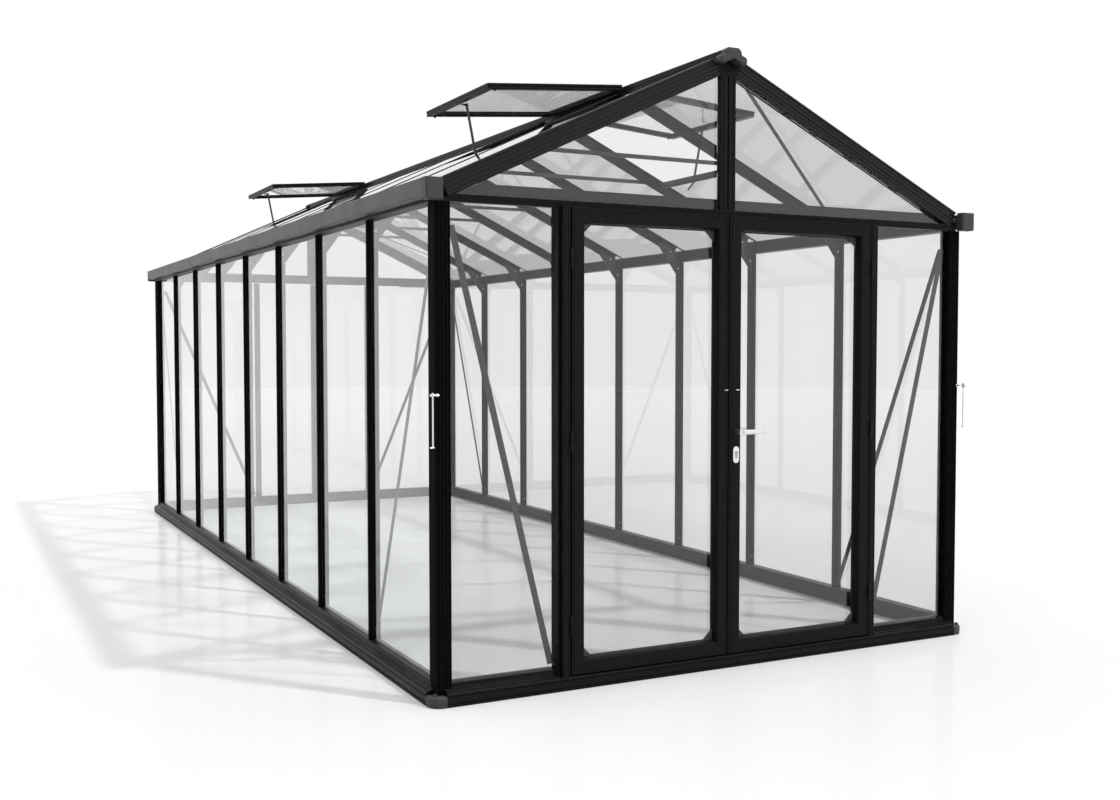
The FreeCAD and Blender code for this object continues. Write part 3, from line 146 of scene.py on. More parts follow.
def noise_node(group, scale, detail, stretch=(1.0, 1.0, 1.0)):
    """Noise over the piece's own coordinates, stretched along its axes."""
    place = group.nodes.new("ShaderNodeTexCoord")
    mapping = group.nodes.new("ShaderNodeMapping")
    mapping.inputs["Scale"].default_value = stretch
    noise = group.nodes.new("ShaderNodeTexNoise")
    noise.inputs["Detail"].default_value = detail
    group.links.new(place.outputs["Object"], mapping.inputs["Vector"])
    group.links.new(mapping.outputs["Vector"], noise.inputs["Vector"])
    if isinstance(scale, (int, float)):
        noise.inputs["Scale"].default_value = scale
    else:
        group.links.new(scale, noise.inputs["Scale"])
    return noise.outputs["Fac"]


grain_effect, grain_in, grain_out = effect("fine_grain", [("Scale", 900.0)], ["Height", "Mottle"])
grain_fine = noise_node(grain_effect, grain_in.outputs["Scale"], 3.0)
grain_broad = noise_node(grain_effect, 6.0, 5.0)
grain_effect.links.new(grain_fine, grain_out.inputs["Height"])
grain_effect.links.new(grain_broad, grain_out.inputs["Mottle"])

dust_effect, dust_in, dust_out = effect("settled_dust", [("Scale", 30.0), ("Amount", 0.3)], ["Mask"])
dust_face = dust_effect.nodes.new("ShaderNodeNewGeometry")
dust_split = dust_effect.nodes.new("ShaderNodeSeparateXYZ")
dust_effect.links.new(dust_face.outputs["Normal"], dust_split.inputs["Vector"])
dust_up = sum_node(dust_effect, "MAXIMUM", dust_split.outputs["Z"], 0.0)
dust_patch = noise_node(dust_effect, dust_in.outputs["Scale"], 6.0)
dust_lying = sum_node(dust_effect, "MULTIPLY", dust_up, dust_patch)
dust_mask = sum_node(dust_effect, "MULTIPLY", dust_lying, dust_in.outputs["Amount"])
dust_effect.links.new(dust_mask, dust_out.inputs["Mask"])

# Convex edges, found by pointiness, are lightened in noisy patches: partly rubbed wear, partly a painted
# edge highlight.
edge_wear_highlight_group, edge_wear_highlight_in, edge_wear_highlight_out = effect("rubbed_and_highlit_edges", [("Scale", 60.0), ("Amount", 0.3)], ["Mask"])
edge_wear_highlight_geometry = edge_wear_highlight_group.nodes.new("ShaderNodeNewGeometry")
edge_wear_highlight_pointiness = sum_node(edge_wear_highlight_group, "SUBTRACT", edge_wear_highlight_geometry.outputs["Pointiness"], 0.52)
edge_wear_highlight_sharpness = sum_node(edge_wear_highlight_group, "MULTIPLY", sum_node(edge_wear_highlight_group, "MAXIMUM", edge_wear_highlight_pointiness, 0.0), 9.0)
edge_wear_highlight_patches = noise_node(edge_wear_highlight_group, edge_wear_highlight_in.outputs["Scale"], 6.0)
edge_wear_highlight_patchy = sum_node(edge_wear_highlight_group, "MULTIPLY", edge_wear_highlight_sharpness, edge_wear_highlight_patches)
edge_wear_highlight_mask = sum_node(edge_wear_highlight_group, "MULTIPLY", edge_wear_highlight_patchy, edge_wear_highlight_in.outputs["Amount"])
edge_wear_highlight_clamped = sum_node(edge_wear_highlight_group, "MINIMUM", edge_wear_highlight_mask, 1.0)
edge_wear_highlight_group.links.new(edge_wear_highlight_clamped, edge_wear_highlight_out.inputs["Mask"])


def add_effect(tree, group, **values):
    """Puts a node group in a material, with its own values."""
    step = tree.nodes.new("ShaderNodeGroup")
    step.node_tree = group
    for label, number in values.items():
        step.inputs[label].default_value = number
    return step


def blend_colour(tree, mask, first, second):
    """Mix of two colours by a mask; first is a colour or a socket."""
    mix = tree.nodes.new("ShaderNodeMix")
    mix.data_type = "RGBA"
    tree.links.new(mask, mix.inputs["Factor"])
    if isinstance(first, tuple):
        mix.inputs[6].default_value = first
    else:
        tree.links.new(first, mix.inputs[6])
    mix.inputs[7].default_value = second
    return mix.outputs[2]


def finish(name, colour, roughness, shine=0.5, metallic=0.0, grain=900.0, depth=0.2, dust=0.25, edge_wear_highlight=0.3,
           edge_wear_highlight_colour=(0.20, 0.20, 0.20, 1.0)):
    """Hard surface with fine grain, settled dust, and convex edges lightened in patches: partly rubbed wear,
    partly a painted edge highlight.
    """
    material, tree, shader = new_material(name, Metallic=metallic, Specular_IOR_Level=shine)
    grain_step = add_effect(tree, grain_effect, Scale=grain)
    dust_step = add_effect(tree, dust_effect, Scale=14.0, Amount=dust)
    edge_wear_highlight_step = add_effect(tree, edge_wear_highlight_group, Scale=60.0, Amount=edge_wear_highlight)
    darker = tuple(0.72 * part for part in colour[:3]) + (1.0,)
    coat = blend_colour(tree, grain_step.outputs["Mottle"], colour, darker)
    dusty = blend_colour(tree, dust_step.outputs["Mask"], coat, (0.30, 0.29, 0.27, 1.0))
    # Edges blended towards the edge colour: rubbed wear and a painted edge highlight.
    worn = blend_colour(tree, edge_wear_highlight_step.outputs["Mask"], dusty, edge_wear_highlight_colour)
    tree.links.new(worn, shader.inputs["Base Color"])
    uneven = sum_node(tree, "MULTIPLY", grain_step.outputs["Mottle"], 0.16)
    tree.links.new(sum_node(tree, "ADD", uneven, roughness - 0.08), shader.inputs["Roughness"])
    raise_grain(tree, shader, grain_step.outputs["Height"], depth, 0.0004)
    return material


def profile(corners, grooves=None):
    """Outline of an extrusion: corners anticlockwise, with (centre, width, depth) grooves by edge."""
    points = []
    for index, corner in enumerate(corners):
        first = Vector(corner)
        run = (Vector(corners[(index + 1) % len(corners)]) - first).normalized()
        inward = Vector((-run.y, run.x))
        points.append(first)
        for centre, width, depth in (grooves or {}).get(index, ()):
            near = first + run * (centre - width / 2)
            far = near + run * width
            points += [near, near + inward * depth, far + inward * depth, far]
    return [tuple(point) for point in points]


def loft(rings):
    """Skin over a row of closed rings with the same number of points, closed at both ends."""
    count = len(rings[0])
    points = [point for ring in rings for point in ring]
    faces = []
    for first in range(0, len(points) - count, count):
        for step in range(count):
            after = (step + 1) % count
            faces.append((first + step, first + after, first + count + after, first + count + step))
    faces.append(tuple(range(count)))
    faces.append(tuple(range(len(points) - count, len(points))))
    return points, faces


def bar(outline, start, end, place):
    """Straight extrusion: place(a, b, along) puts an outline point in the greenhouse."""
    return loft([[place(a, b, along) for a, b in outline] for along in (start, end)])


def assemble(name, shapes, material, body, nodes=(), rounding=0.0006, steps=2):
    """One piece made of shapes, with rounded edges, on a body, in place of CAD nodes."""
    build = bmesh.new()
    for points, faces in shapes:
        corners = [build.verts.new(point) for point in points]
        for face in faces:
            build.faces.new([corners[index] for index in face])
    bmesh.ops.recalc_face_normals(build, faces=build.faces)
    mesh = bpy.data.meshes.new(name)
    build.to_mesh(mesh)
    build.free()
    mesh.materials.append(material)
    mesh.shade_smooth()
    piece = bpy.data.objects.new(name, mesh)
    scene.collection.objects.link(piece)
    edge = piece.modifiers.new("rounded_edges", "BEVEL")
    edge.width = rounding
    edge.segments = steps
    edge.limit_method = "ANGLE"
    edge.angle_limit = math.radians(28)
    edge.harden_normals = True
    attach(piece, body)
    if nodes:
        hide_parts(*nodes)
    return piece


SIDES = (1, -1)
ENDS = (1, -1)
CORNERS = [(side, end) for side in SIDES for end in ENDS]
BAR_PLACES = tuple(0.75 * step for step in range(-3, 4))


def along_wall(side):
    """Places a section (out, up) of a side wall's member that runs along the wall."""
    return lambda out, up, along: (side * out, along, up)


def along_gable(end):
    """Places a section (out, up) of a gable's member that runs across the gable."""
    return lambda out, up, along: (along, end * out, up)


base_black = finish(
    "base_powder_coat", (0.0022, 0.0022, 0.0024, 1.0), 0.36, shine=0.10, dust=0.035, edge_wear_highlight=0.10
)
rail_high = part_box("base_rails")[1]
RAIL_OUT = rail_high.x
RAIL_END = rail_high.y
SILL_TOP = rail_high.z
RAIL_STOP = 3.0115
RAIL_ACROSS = 1.2495
MID_JOINT = 0.0005
DOORWAY_HALF = 0.7840
GABLE_SHIFT = RAIL_END - RAIL_OUT
RAIL_GROOVES = {
    1: [(0.0115, 0.0060, 0.0055), (0.0390, 0.0045, 0.0040)],
    3: [(0.010, 0.0045, 0.0030), (0.024, 0.0035, 0.0020)],
}
rail_corners = [
    (RAIL_OUT - 0.075, 0.0),
    (RAIL_OUT, 0.0),
    (RAIL_OUT, 0.0480),
    (RAIL_OUT - 0.0025, 0.0505),
    (RAIL_OUT - 0.0345, 0.0640),
    (RAIL_OUT - 0.0365, 0.0680),
    (RAIL_OUT - 0.0365, SILL_TOP),
    (RAIL_OUT - 0.0900, SILL_TOP),
    (RAIL_OUT - 0.0900, 0.050),
    (RAIL_OUT - 0.0750, 0.050),
]
threshold_corners = [
    (RAIL_END - 0.075, 0.0),
    (RAIL_END, 0.0),
    (RAIL_END, 0.0480),
    (RAIL_END - 0.0025, 0.0505),
    (RAIL_END - 0.0200, 0.0560),
    (RAIL_END - 0.0750, 0.0568),
]
rail_outline = profile(rail_corners, RAIL_GROOVES)
gable_outline = [(out + GABLE_SHIFT, up) for out, up in rail_outline]
threshold_outline = profile(threshold_corners, {1: RAIL_GROOVES[1], 4: [(0.020, 0.004, 0.002)]})
base_shapes = []
for side in SIDES:
    for low, high in ((MID_JOINT, RAIL_STOP), (-RAIL_STOP, -MID_JOINT)):
        base_shapes.append(bar(rail_outline, low, high, along_wall(side)))
base_shapes.append(bar(gable_outline, -RAIL_ACROSS, RAIL_ACROSS, along_gable(1)))
base_shapes.append(bar(gable_outline, DOORWAY_HALF, RAIL_ACROSS, along_gable(-1)))
base_shapes.append(bar(gable_outline, -RAIL_ACROSS, -DOORWAY_HALF, along_gable(-1)))
threshold_half = DOORWAY_HALF - MID_JOINT
base_shapes.append(bar(threshold_outline, -threshold_half, threshold_half, along_gable(-1)))
assemble("base_rail_extrusions", base_shapes, base_black, "frame", ["base_rails"])


# Corner feet: moulded dark plastic, with a large round on the outside, a rim round the top and a
# small upright tab that locates the corner post. The rails push into them.
moulding = finish("dark_moulding", (0.030, 0.031, 0.034, 1.0), 0.50, shine=0.40, grain=1600.0, depth=0.5)
FOOT_RADIUS = 0.050
FOOT_TOP = 0.041
foot_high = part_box("base_corner_feet")[1]
FOOT_INNER_X = foot_high.x - 0.0635
FOOT_INNER_Y = foot_high.y - 0.0635


def foot_outline(shrink):
    """Plan of a foot, drawn in from its edge by shrink."""
    radius = FOOT_RADIUS - shrink
    outline = [(FOOT_INNER_X, FOOT_INNER_Y), (foot_high.x - shrink, FOOT_INNER_Y)]
    for step in range(13):
        turn = step * math.pi / 24
        x = foot_high.x - FOOT_RADIUS + radius * math.cos(turn)
        y = foot_high.y - FOOT_RADIUS + radius * math.sin(turn)
        outline.append((x, y))
    return outline + [(FOOT_INNER_X, foot_high.y - shrink)]


def upright(side, end):
    """Places a plan point (x, y) of an upright member of one corner, going up."""
    return lambda x, y, up: (side * x, end * y, up)


foot_tab = [(1.2830, 3.045), (1.2930, 3.045), (1.2930, 3.055), (1.2830, 3.055)]
foot_shapes = []
for corner in CORNERS:
    place = upright(*corner)
    foot_shapes.append(bar(foot_outline(0.0015), 0.0, 0.010, place))
    foot_shapes.append(bar(foot_outline(0.0), 0.0102, FOOT_TOP - 0.005, place))
    foot_shapes.append(bar(foot_outline(0.003), FOOT_TOP - 0.0048, FOOT_TOP, place))
    foot_shapes.append(bar(foot_tab, FOOT_TOP, FOOT_TOP + 0.010, place))
assemble("corner_feet", foot_shapes, moulding, "frame", ["base_corner_feet"], 0.0025, 3)


# Corner posts: square extrusions with four flutes down each outer face and a rounded outer edge,
# standing in the feet and carrying the eave rails.
black_coat = finish(
    "black_powder_coat", (0.0024, 0.0024, 0.0026, 1.0), 0.38, shine=0.10, dust=0.03, edge_wear_highlight=0.10
)
# A darker, less glossy copy of the black coat for the corner posts and wall caps, so that they read darker:
# painted shade.
shaded_black_copy = finish(
    "corner_post_coat_painted_shade", (0.0022, 0.0022, 0.0023, 1.0), 0.45, shine=0.01, dust=0.02, edge_wear_highlight=0.06
)
post_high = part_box("corner_posts")[1]
POST_SIDE = 0.061
POST_FLUTES = [(centre, 0.0035, 0.0030) for centre in (0.0095, 0.0235, 0.0375, 0.0515)]
post_corners = [
    (post_high.x - POST_SIDE, post_high.y - POST_SIDE),
    (post_high.x, post_high.y - POST_SIDE),
    (post_high.x, post_high.y - 0.003),
    (post_high.x - 0.003, post_high.y),
    (post_high.x - POST_SIDE, post_high.y),
]
post_outline = profile(post_corners, {1: POST_FLUTES, 3: POST_FLUTES})
post_shapes = [bar(post_outline, FOOT_TOP, post_high.z, upright(*corner)) for corner in CORNERS]
assemble("corner_post_extrusions", post_shapes, shaded_black_copy, "frame", ["corner_posts"])


# Wall posts: T-shaped extrusions behind the joints of the wall panes. The flange takes the inner
# seals, and the web ends in a bead that takes the haunch plates.
WALL_FLANGE = 0.020
inside_low, inside_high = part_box("wall_posts_right")


def both_halves(half):
    """Outline of a section that is the same on both sides of its middle, from one half of it."""
    return half + [(out, -across) for out, across in half[::-1]]


wall_post_outline = both_halves(
    [
        (inside_high.x, 0.0085),
        (inside_high.x - 0.0015, 0.0090),
        (inside_high.x - 0.0015, 0.0140),
        (inside_high.x, 0.0145),
        (inside_high.x, WALL_FLANGE),
        (inside_high.x - 0.0040, WALL_FLANGE),
        (inside_high.x - 0.0050, 0.0025),
        (inside_low.x + 0.0060, 0.0025),
        (inside_low.x + 0.0050, 0.0055),
        (inside_low.x, 0.0055),
    ]
)


def beside(side, middle):
    """Places a plan point (x out from the middle, y from the bar) of a wall bar, going up."""
    return lambda x, y, up: (side * x, middle + y, up)


for side, word in ((1, "right"), (-1, "left")):
    posts = [bar(wall_post_outline, inside_low.z, inside_high.z, beside(side, y)) for y in BAR_PLACES]
    node = f"wall_posts_{word}"
    assemble(f"wall_tees_{word}", posts, black_coat, "frame", [node])


# Wall glazing caps: snap-on strips over the joints of the panes, with a shallow middle groove,
# pressing on black rubber seals on both faces of the glass.
cap_low, cap_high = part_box("wall_glazing_caps")
CAP_HALF = 0.010
CAP_BACK = cap_high.x - 0.0145
cap_corners = [
    (CAP_BACK, -CAP_HALF),
    (cap_high.x - 0.0050, -CAP_HALF),
    (cap_high.x, -CAP_HALF + 0.0025),
    (cap_high.x, CAP_HALF - 0.0025),
    (cap_high.x - 0.0050, CAP_HALF),
    (CAP_BACK, CAP_HALF),
]
cap_outline = profile(cap_corners, {2: [(0.0075, 0.004, 0.0015)]})
cap_shapes = [
    bar(cap_outline, cap_low.z, cap_high.z, beside(side, middle)) for side in SIDES for middle in BAR_PLACES
]
corner_cap = [(CAP_BACK, 2.9585), (cap_high.x, 2.9585), (cap_high.x, 2.982), (CAP_BACK, 2.982)]
corner_cap_outline = profile(corner_cap, {1: [(0.012, 0.005, 0.002)]})
for corner in CORNERS:
    cap_shapes.append(bar(corner_cap_outline, cap_low.z, cap_high.z, upright(*corner)))
assemble("wall_cap_strips", cap_shapes, shaded_black_copy, "frame", ["wall_glazing_caps"], 0.0004)

rubber = finish(
    "black_rubber", (0.010, 0.010, 0.010, 1.0), 0.72, shine=0.30, grain=500.0, dust=0.3, edge_wear_highlight=0.0
)


def strip(low, high):
    """Rectangle between two corners, as an outline."""
    return [low, (high[0], low[1]), high, (low[0], high[1])]


PANE_TOP = 1.850
OUTER_SEAL_X = (1.25955, 1.26045)
INNER_SEAL_X = (1.25455, 1.25545)
WALL_SEALS = (
    strip((OUTER_SEAL_X[0], -0.0115), (OUTER_SEAL_X[1], -0.0075)),
    strip((OUTER_SEAL_X[0], 0.0075), (OUTER_SEAL_X[1], 0.0115)),
    strip((INNER_SEAL_X[0], -0.0195), (INNER_SEAL_X[1], -0.0160)),
    strip((INNER_SEAL_X[0], 0.0160), (INNER_SEAL_X[1], 0.0195)),
)
seal_shapes = []
for side in SIDES:
    for middle in BAR_PLACES:
        for seal in WALL_SEALS:
            seal_shapes.append(bar(seal, SILL_TOP, PANE_TOP, beside(side, middle)))
assemble("wall_seals", seal_shapes, rubber, "frame", (), 0.0002, 1)


# Eave rails: box extrusions along the tops of the walls. A drip lip shows as a black band under
# the gutter, and the top is grooved for the roof seals.
eave_low, eave_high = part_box("eave_rails")
eave_corners = [
    (eave_high.x - 0.0535, eave_low.z),
    (eave_high.x, eave_low.z),
    (eave_high.x, eave_high.z - 0.004),
    (eave_high.x - 0.004, eave_high.z),
    (eave_high.x - 0.0535, eave_high.z),
]
eave_grooves = {
    1: [(0.012, 0.003, 0.002), (0.035, 0.003, 0.002)],
    3: [(0.012, 0.004, 0.003), (0.036, 0.004, 0.003)],
}
eave_outline = profile(eave_corners, eave_grooves)
lip_outline = [
    (eave_high.x, eave_low.z + 0.0005),
    (eave_high.x + 0.0120, eave_low.z + 0.0005),
    (eave_high.x + 0.0140, eave_low.z + 0.0030),
    (eave_high.x + 0.0140, eave_low.z + 0.0105),
    (eave_high.x, eave_low.z + 0.0105),
]
eave_shapes = []
for side in SIDES:
    for low, high in ((MID_JOINT, eave_high.y), (-eave_high.y, -MID_JOINT)):
        eave_shapes.append(bar(eave_outline, low, high, along_wall(side)))
        eave_shapes.append(bar(lip_outline, low, high, along_wall(side)))
assemble("eave_rail_extrusions", eave_shapes, black_coat, "frame", ["eave_rails"])


# Gutters: open channels of dark grey coated aluminium, with a smooth fascia and a turned-in front
# lip, joined at mid length by a sleeve.
gutter_grey = finish("gutter_coat", (0.040, 0.041, 0.043, 1.0), 0.42, shine=0.35, dust=0.35, edge_wear_highlight=0.15)
gutter_low, gutter_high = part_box("gutters")
GUTTER_BACK = 1.277
GUTTER_FLOOR = gutter_low.z + 0.0115
SHEET = 0.0022
gutter_outline = [
    (GUTTER_BACK, 1.895),
    (GUTTER_BACK, GUTTER_FLOOR),
    (gutter_high.x - 0.006, GUTTER_FLOOR),
    (gutter_high.x, GUTTER_FLOOR + 0.006),
    (gutter_high.x, gutter_high.z - 0.003),
    (gutter_high.x - 0.003, gutter_high.z),
    (gutter_high.x - 0.011, gutter_high.z),
    (gutter_high.x - 0.011, gutter_high.z - 0.0060),
    (gutter_high.x - 0.009, gutter_high.z - 0.0060),
    (gutter_high.x - 0.009, gutter_high.z - SHEET),
    (gutter_high.x - SHEET, gutter_high.z - SHEET),
    (gutter_high.x - SHEET, GUTTER_FLOOR + 0.008),
    (gutter_high.x - 0.008, GUTTER_FLOOR + SHEET),
    (GUTTER_BACK + SHEET, GUTTER_FLOOR + SHEET),
    (GUTTER_BACK + SHEET, 1.895),
]
sleeve_outline = [
    (gutter_high.x - SHEET - 0.0022, gutter_high.z - 0.012),
    (gutter_high.x - SHEET - 0.0022, GUTTER_FLOOR + 0.006),
    (GUTTER_BACK + SHEET + 0.0005, GUTTER_FLOOR + 0.006),
    (GUTTER_BACK + SHEET + 0.0005, GUTTER_FLOOR + SHEET + 0.0003),
    (gutter_high.x - SHEET - 0.0065, GUTTER_FLOOR + SHEET + 0.0003),
    (gutter_high.x - SHEET - 0.0003, GUTTER_FLOOR + 0.010),
    (gutter_high.x - SHEET - 0.0003, gutter_high.z - 0.012),
]
gutter_shapes = []
for side in SIDES:
    gutter_shapes.append(bar(sleeve_outline, -0.040, 0.040, along_wall(side)))
    for low, high in ((MID_JOINT, gutter_high.y), (-gutter_high.y, -MID_JOINT)):
        gutter_shapes.append(bar(gutter_outline, low, high, along_wall(side)))
assemble("gutter_channels", gutter_shapes, gutter_grey, "frame", ["gutters"])


# Gutter end caps: plastic boxes that close the gutters and cover the feet of the gable rafters,
# with a raised rim round the outer face.
end_low, end_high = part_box("gutter_end_caps")
END_IN = 1.261
END_NEAR = end_high.y - 0.0385
end_outline = [
    (END_IN, end_low.z),
    (end_high.x - 0.006, end_low.z),
    (end_high.x, end_low.z + 0.006),
    (end_high.x, end_high.z),
    (END_IN, end_high.z),
]
inner_end_outline = [
    (END_IN + 0.006, end_low.z + 0.006),
    (end_high.x - 0.009, end_low.z + 0.006),
    (end_high.x - 0.006, end_low.z + 0.009),
    (end_high.x - 0.006, end_high.z - 0.006),
    (END_IN + 0.006, end_high.z - 0.006),
]


def across_gable(side, end):
    """Places an elevation point (x, z) of a gable part, going out from the middle along Y."""
    return lambda x, z, deep: (side * x, end * deep, z)


end_shapes = []
for corner in CORNERS:
    end_shapes.append(bar(end_outline, END_NEAR, end_high.y - 0.0025, across_gable(*corner)))
    end_shapes.append(bar(inner_end_outline, END_NEAR + 0.004, end_high.y, across_gable(*corner)))
assemble("gutter_end_mouldings", end_shapes, moulding, "frame", ["gutter_end_caps"], 0.002, 3)


# Gable tie beams: two-lipped black bands over the doors and across the rear, with a grey inner
# rail behind the glass. The ends rest on small shoes beside the corner posts.
beam_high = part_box("gable_tie_beams")[1]
BEAM_FRONT = beam_high.y
BEAM_BACK = BEAM_FRONT - 0.026
INNER_RAIL = (BEAM_FRONT - 0.0500, BEAM_FRONT - 0.0270)
BEAM_HALF = 1.1980
INNER_RAIL_HALF = 1.0950
BEAM_Z = (1.8560, 1.8800)
beam_corners = [
    (BEAM_BACK, BEAM_Z[0]),
    (BEAM_FRONT - 0.002, BEAM_Z[0]),
    (BEAM_FRONT, BEAM_Z[0] + 0.002),
    (BEAM_FRONT, BEAM_Z[1] - 0.002),
    (BEAM_FRONT - 0.002, BEAM_Z[1]),
    (BEAM_BACK, BEAM_Z[1]),
]
beam_outline = profile(beam_corners, {2: [(0.0065, 0.0030, 0.0030), (0.0135, 0.0020, 0.0020)]})
inner_rail_corners = strip((INNER_RAIL[0], BEAM_Z[0]), (INNER_RAIL[1], beam_high.z))
inner_rail_grooves = {1: [(0.034, 0.004, 0.003)], 3: [(0.020, 0.004, 0.003)]}
inner_rail_outline = profile(inner_rail_corners, inner_rail_grooves)
shoe_outline = strip((BEAM_BACK, 1.8502), (BEAM_FRONT, 1.8558))
SHOE_END = 1.258
rail_wedge = [
    (INNER_RAIL_HALF, BEAM_Z[0]),
    (1.2210, BEAM_Z[0]),
    (1.2210, 1.8690),
    (INNER_RAIL_HALF, beam_high.z),
]
corner_fill = [
    (BEAM_HALF, BEAM_Z[0]),
    (1.2575, BEAM_Z[0]),
    (1.2575, 1.8668),
    (1.2260, 1.8668),
    (BEAM_HALF, 1.8798),
]
beam_shapes = []
for end in ENDS:
    beam_shapes.append(bar(beam_outline, -BEAM_HALF, BEAM_HALF, along_gable(end)))
    beam_shapes.append(bar(inner_rail_outline, -INNER_RAIL_HALF, INNER_RAIL_HALF, along_gable(end)))
    for low, high in ((DOORWAY_HALF, SHOE_END), (-SHOE_END, -DOORWAY_HALF)):
        beam_shapes.append(bar(shoe_outline, low, high, along_gable(end)))
for corner in CORNERS:
    beam_shapes.append(bar(rail_wedge, *INNER_RAIL, across_gable(*corner)))
    beam_shapes.append(bar(corner_fill, BEAM_BACK, BEAM_FRONT, across_gable(*corner)))
assemble("tie_beam_extrusions", beam_shapes, black_coat, "frame", ["gable_tie_beams"])


# Gable rafters: deep extrusions up both edges of each gable, grooved along the outer face and the
# top. Their lower ends disappear in the gutter end caps, the upper ones in the ridge end caps.
PITCH = math.radians(25)
RIDGE_LINE = 2.522


def down_slope(side, end=1):
    """Places a section (out of the roof, across the gable) of a member that runs down the slope."""
    def place(out, deep, down):
        across = down * math.cos(PITCH) + out * math.sin(PITCH)
        height = RIDGE_LINE - down * math.sin(PITCH) + out * math.cos(PITCH)
        return side * across, end * deep, height
    return place


GABLE_FACE = 3.0435
verge_corners = [
    (-0.075, GABLE_FACE - 0.044),
    (0.000, GABLE_FACE - 0.044),
    (0.000, GABLE_FACE - 0.003),
    (-0.003, GABLE_FACE),
    (-0.072, GABLE_FACE),
    (-0.075, GABLE_FACE - 0.003),
]
verge_grooves = {
    1: [(0.010, 0.004, 0.003), (0.026, 0.004, 0.003)],
    3: [
        (0.0100, 0.0045, 0.0040),
        (0.0240, 0.0060, 0.0020),
        (0.0400, 0.0045, 0.0040),
        (0.0560, 0.0060, 0.0020),
    ],
}
verge_outline = profile(verge_corners, verge_grooves)
verge_shapes = [bar(verge_outline, 0.079, 1.388, down_slope(*corner)) for corner in CORNERS]
verge_black = finish("verge_coat", (0.0048, 0.0048, 0.0051, 1.0), 0.34, shine=0.20, dust=0.05, edge_wear_highlight=0.12)
assemble("verge_rafters", verge_shapes, verge_black, "frame", ["gable_rafters"])


# Gable posts: a grooved centre post above each tie beam, and three posts with outer caps that
# carry the joints of the rear gable's panes.
centre_corners = [
    (-0.0380, GABLE_FACE - 0.026),
    (0.0380, GABLE_FACE - 0.026),
    (0.0380, GABLE_FACE - 0.002),
    (0.0360, GABLE_FACE),
    (-0.0360, GABLE_FACE),
    (-0.0380, GABLE_FACE - 0.002),
]
centre_grooves = [(0.0130, 0.0030, 0.0025), (0.0360, 0.0070, 0.0050), (0.0590, 0.0030, 0.0025)]
centre_outline = profile(centre_corners, {3: centre_grooves})
rear_post_corners = [(-0.020, 2.9835), (0.020, 2.9835), (0.020, 3.0165), (-0.020, 3.0165)]
rear_post_outline = profile(rear_post_corners, {0: [(0.012, 0.004, 0.003), (0.028, 0.004, 0.003)]})
rear_cap_corners = [
    (-0.010, 3.0225),
    (0.010, 3.0225),
    (0.010, 3.0320),
    (0.0075, 3.0370),
    (-0.0075, 3.0370),
    (-0.010, 3.0320),
]
rear_cap_outline = profile(rear_cap_corners, {3: [(0.0075, 0.004, 0.0015)]})


def beside_middle(middle, end):
    """Places a plan point (x from the post's middle, y) of a gable post, going up."""
    return lambda x, y, up: (middle + x, end * y, up)


gable_post_shapes = [bar(centre_outline, 1.880, 2.4205, beside_middle(0.0, end)) for end in ENDS]
for middle in (-0.475, 0.0, 0.475):
    gable_post_shapes.append(bar(rear_post_outline, SILL_TOP, PANE_TOP, beside_middle(middle, 1)))
    gable_post_shapes.append(bar(rear_cap_outline, SILL_TOP, PANE_TOP, beside_middle(middle, 1)))
apex_half = [(0.0395, 2.4210), (0.0500, 2.4445), (0.0580, 2.4615), (0.0245, 2.4615), (0.0245, 2.4445)]
apex_outline = apex_half + [(-x, z) for x, z in apex_half[::-1]]
APEX_REACH = (GABLE_FACE - 0.0260, GABLE_FACE - 0.0010)
for end in ENDS:
    gable_post_shapes.append(bar(apex_outline, *APEX_REACH, across_gable(1, end)))
assemble("gable_post_extrusions", gable_post_shapes, black_coat, "frame", ["gable_posts"])


# Ridge: one long extrusion with shoulders that take the rafters and panes, and two thin rails
# along its top where the vents hinge.
ridge_low, ridge_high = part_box("ridge_beam")
RIDGE_CORE = 0.024
ridge_corners = [
    (-RIDGE_CORE, ridge_low.z),
    (RIDGE_CORE, ridge_low.z),
    (RIDGE_CORE, 2.4620),
    (ridge_high.x, 2.4620),
    (ridge_high.x, 2.4780),
    (ridge_high.x - 0.0060, 2.4860),
    (RIDGE_CORE, 2.4860),
    (RIDGE_CORE, ridge_high.z - 0.003),
    (RIDGE_CORE - 0.003, ridge_high.z),
    (-RIDGE_CORE + 0.003, ridge_high.z),
    (-RIDGE_CORE, ridge_high.z - 0.003),
    (-RIDGE_CORE, 2.4860),
    (-ridge_high.x + 0.0060, 2.4860),
    (-ridge_high.x, 2.4780),
    (-ridge_high.x, 2.4620),
    (-RIDGE_CORE, 2.4620),
]
ridge_grooves = {
    0: [(0.014, 0.004, 0.004), (0.034, 0.004, 0.004)],
    8: [(0.010, 0.004, 0.003), (0.021, 0.008, 0.006), (0.032, 0.004, 0.003)],
    6: [(0.020, 0.003, 0.002)],
    10: [(0.020, 0.003, 0.002)],
}
ridge_outline = profile(ridge_corners, ridge_grooves)
ridge_shapes = [bar(ridge_outline, ridge_low.y, ridge_high.y, along_wall(1))]
assemble("ridge_extrusion", ridge_shapes, black_coat, "frame", ["ridge_beam"])


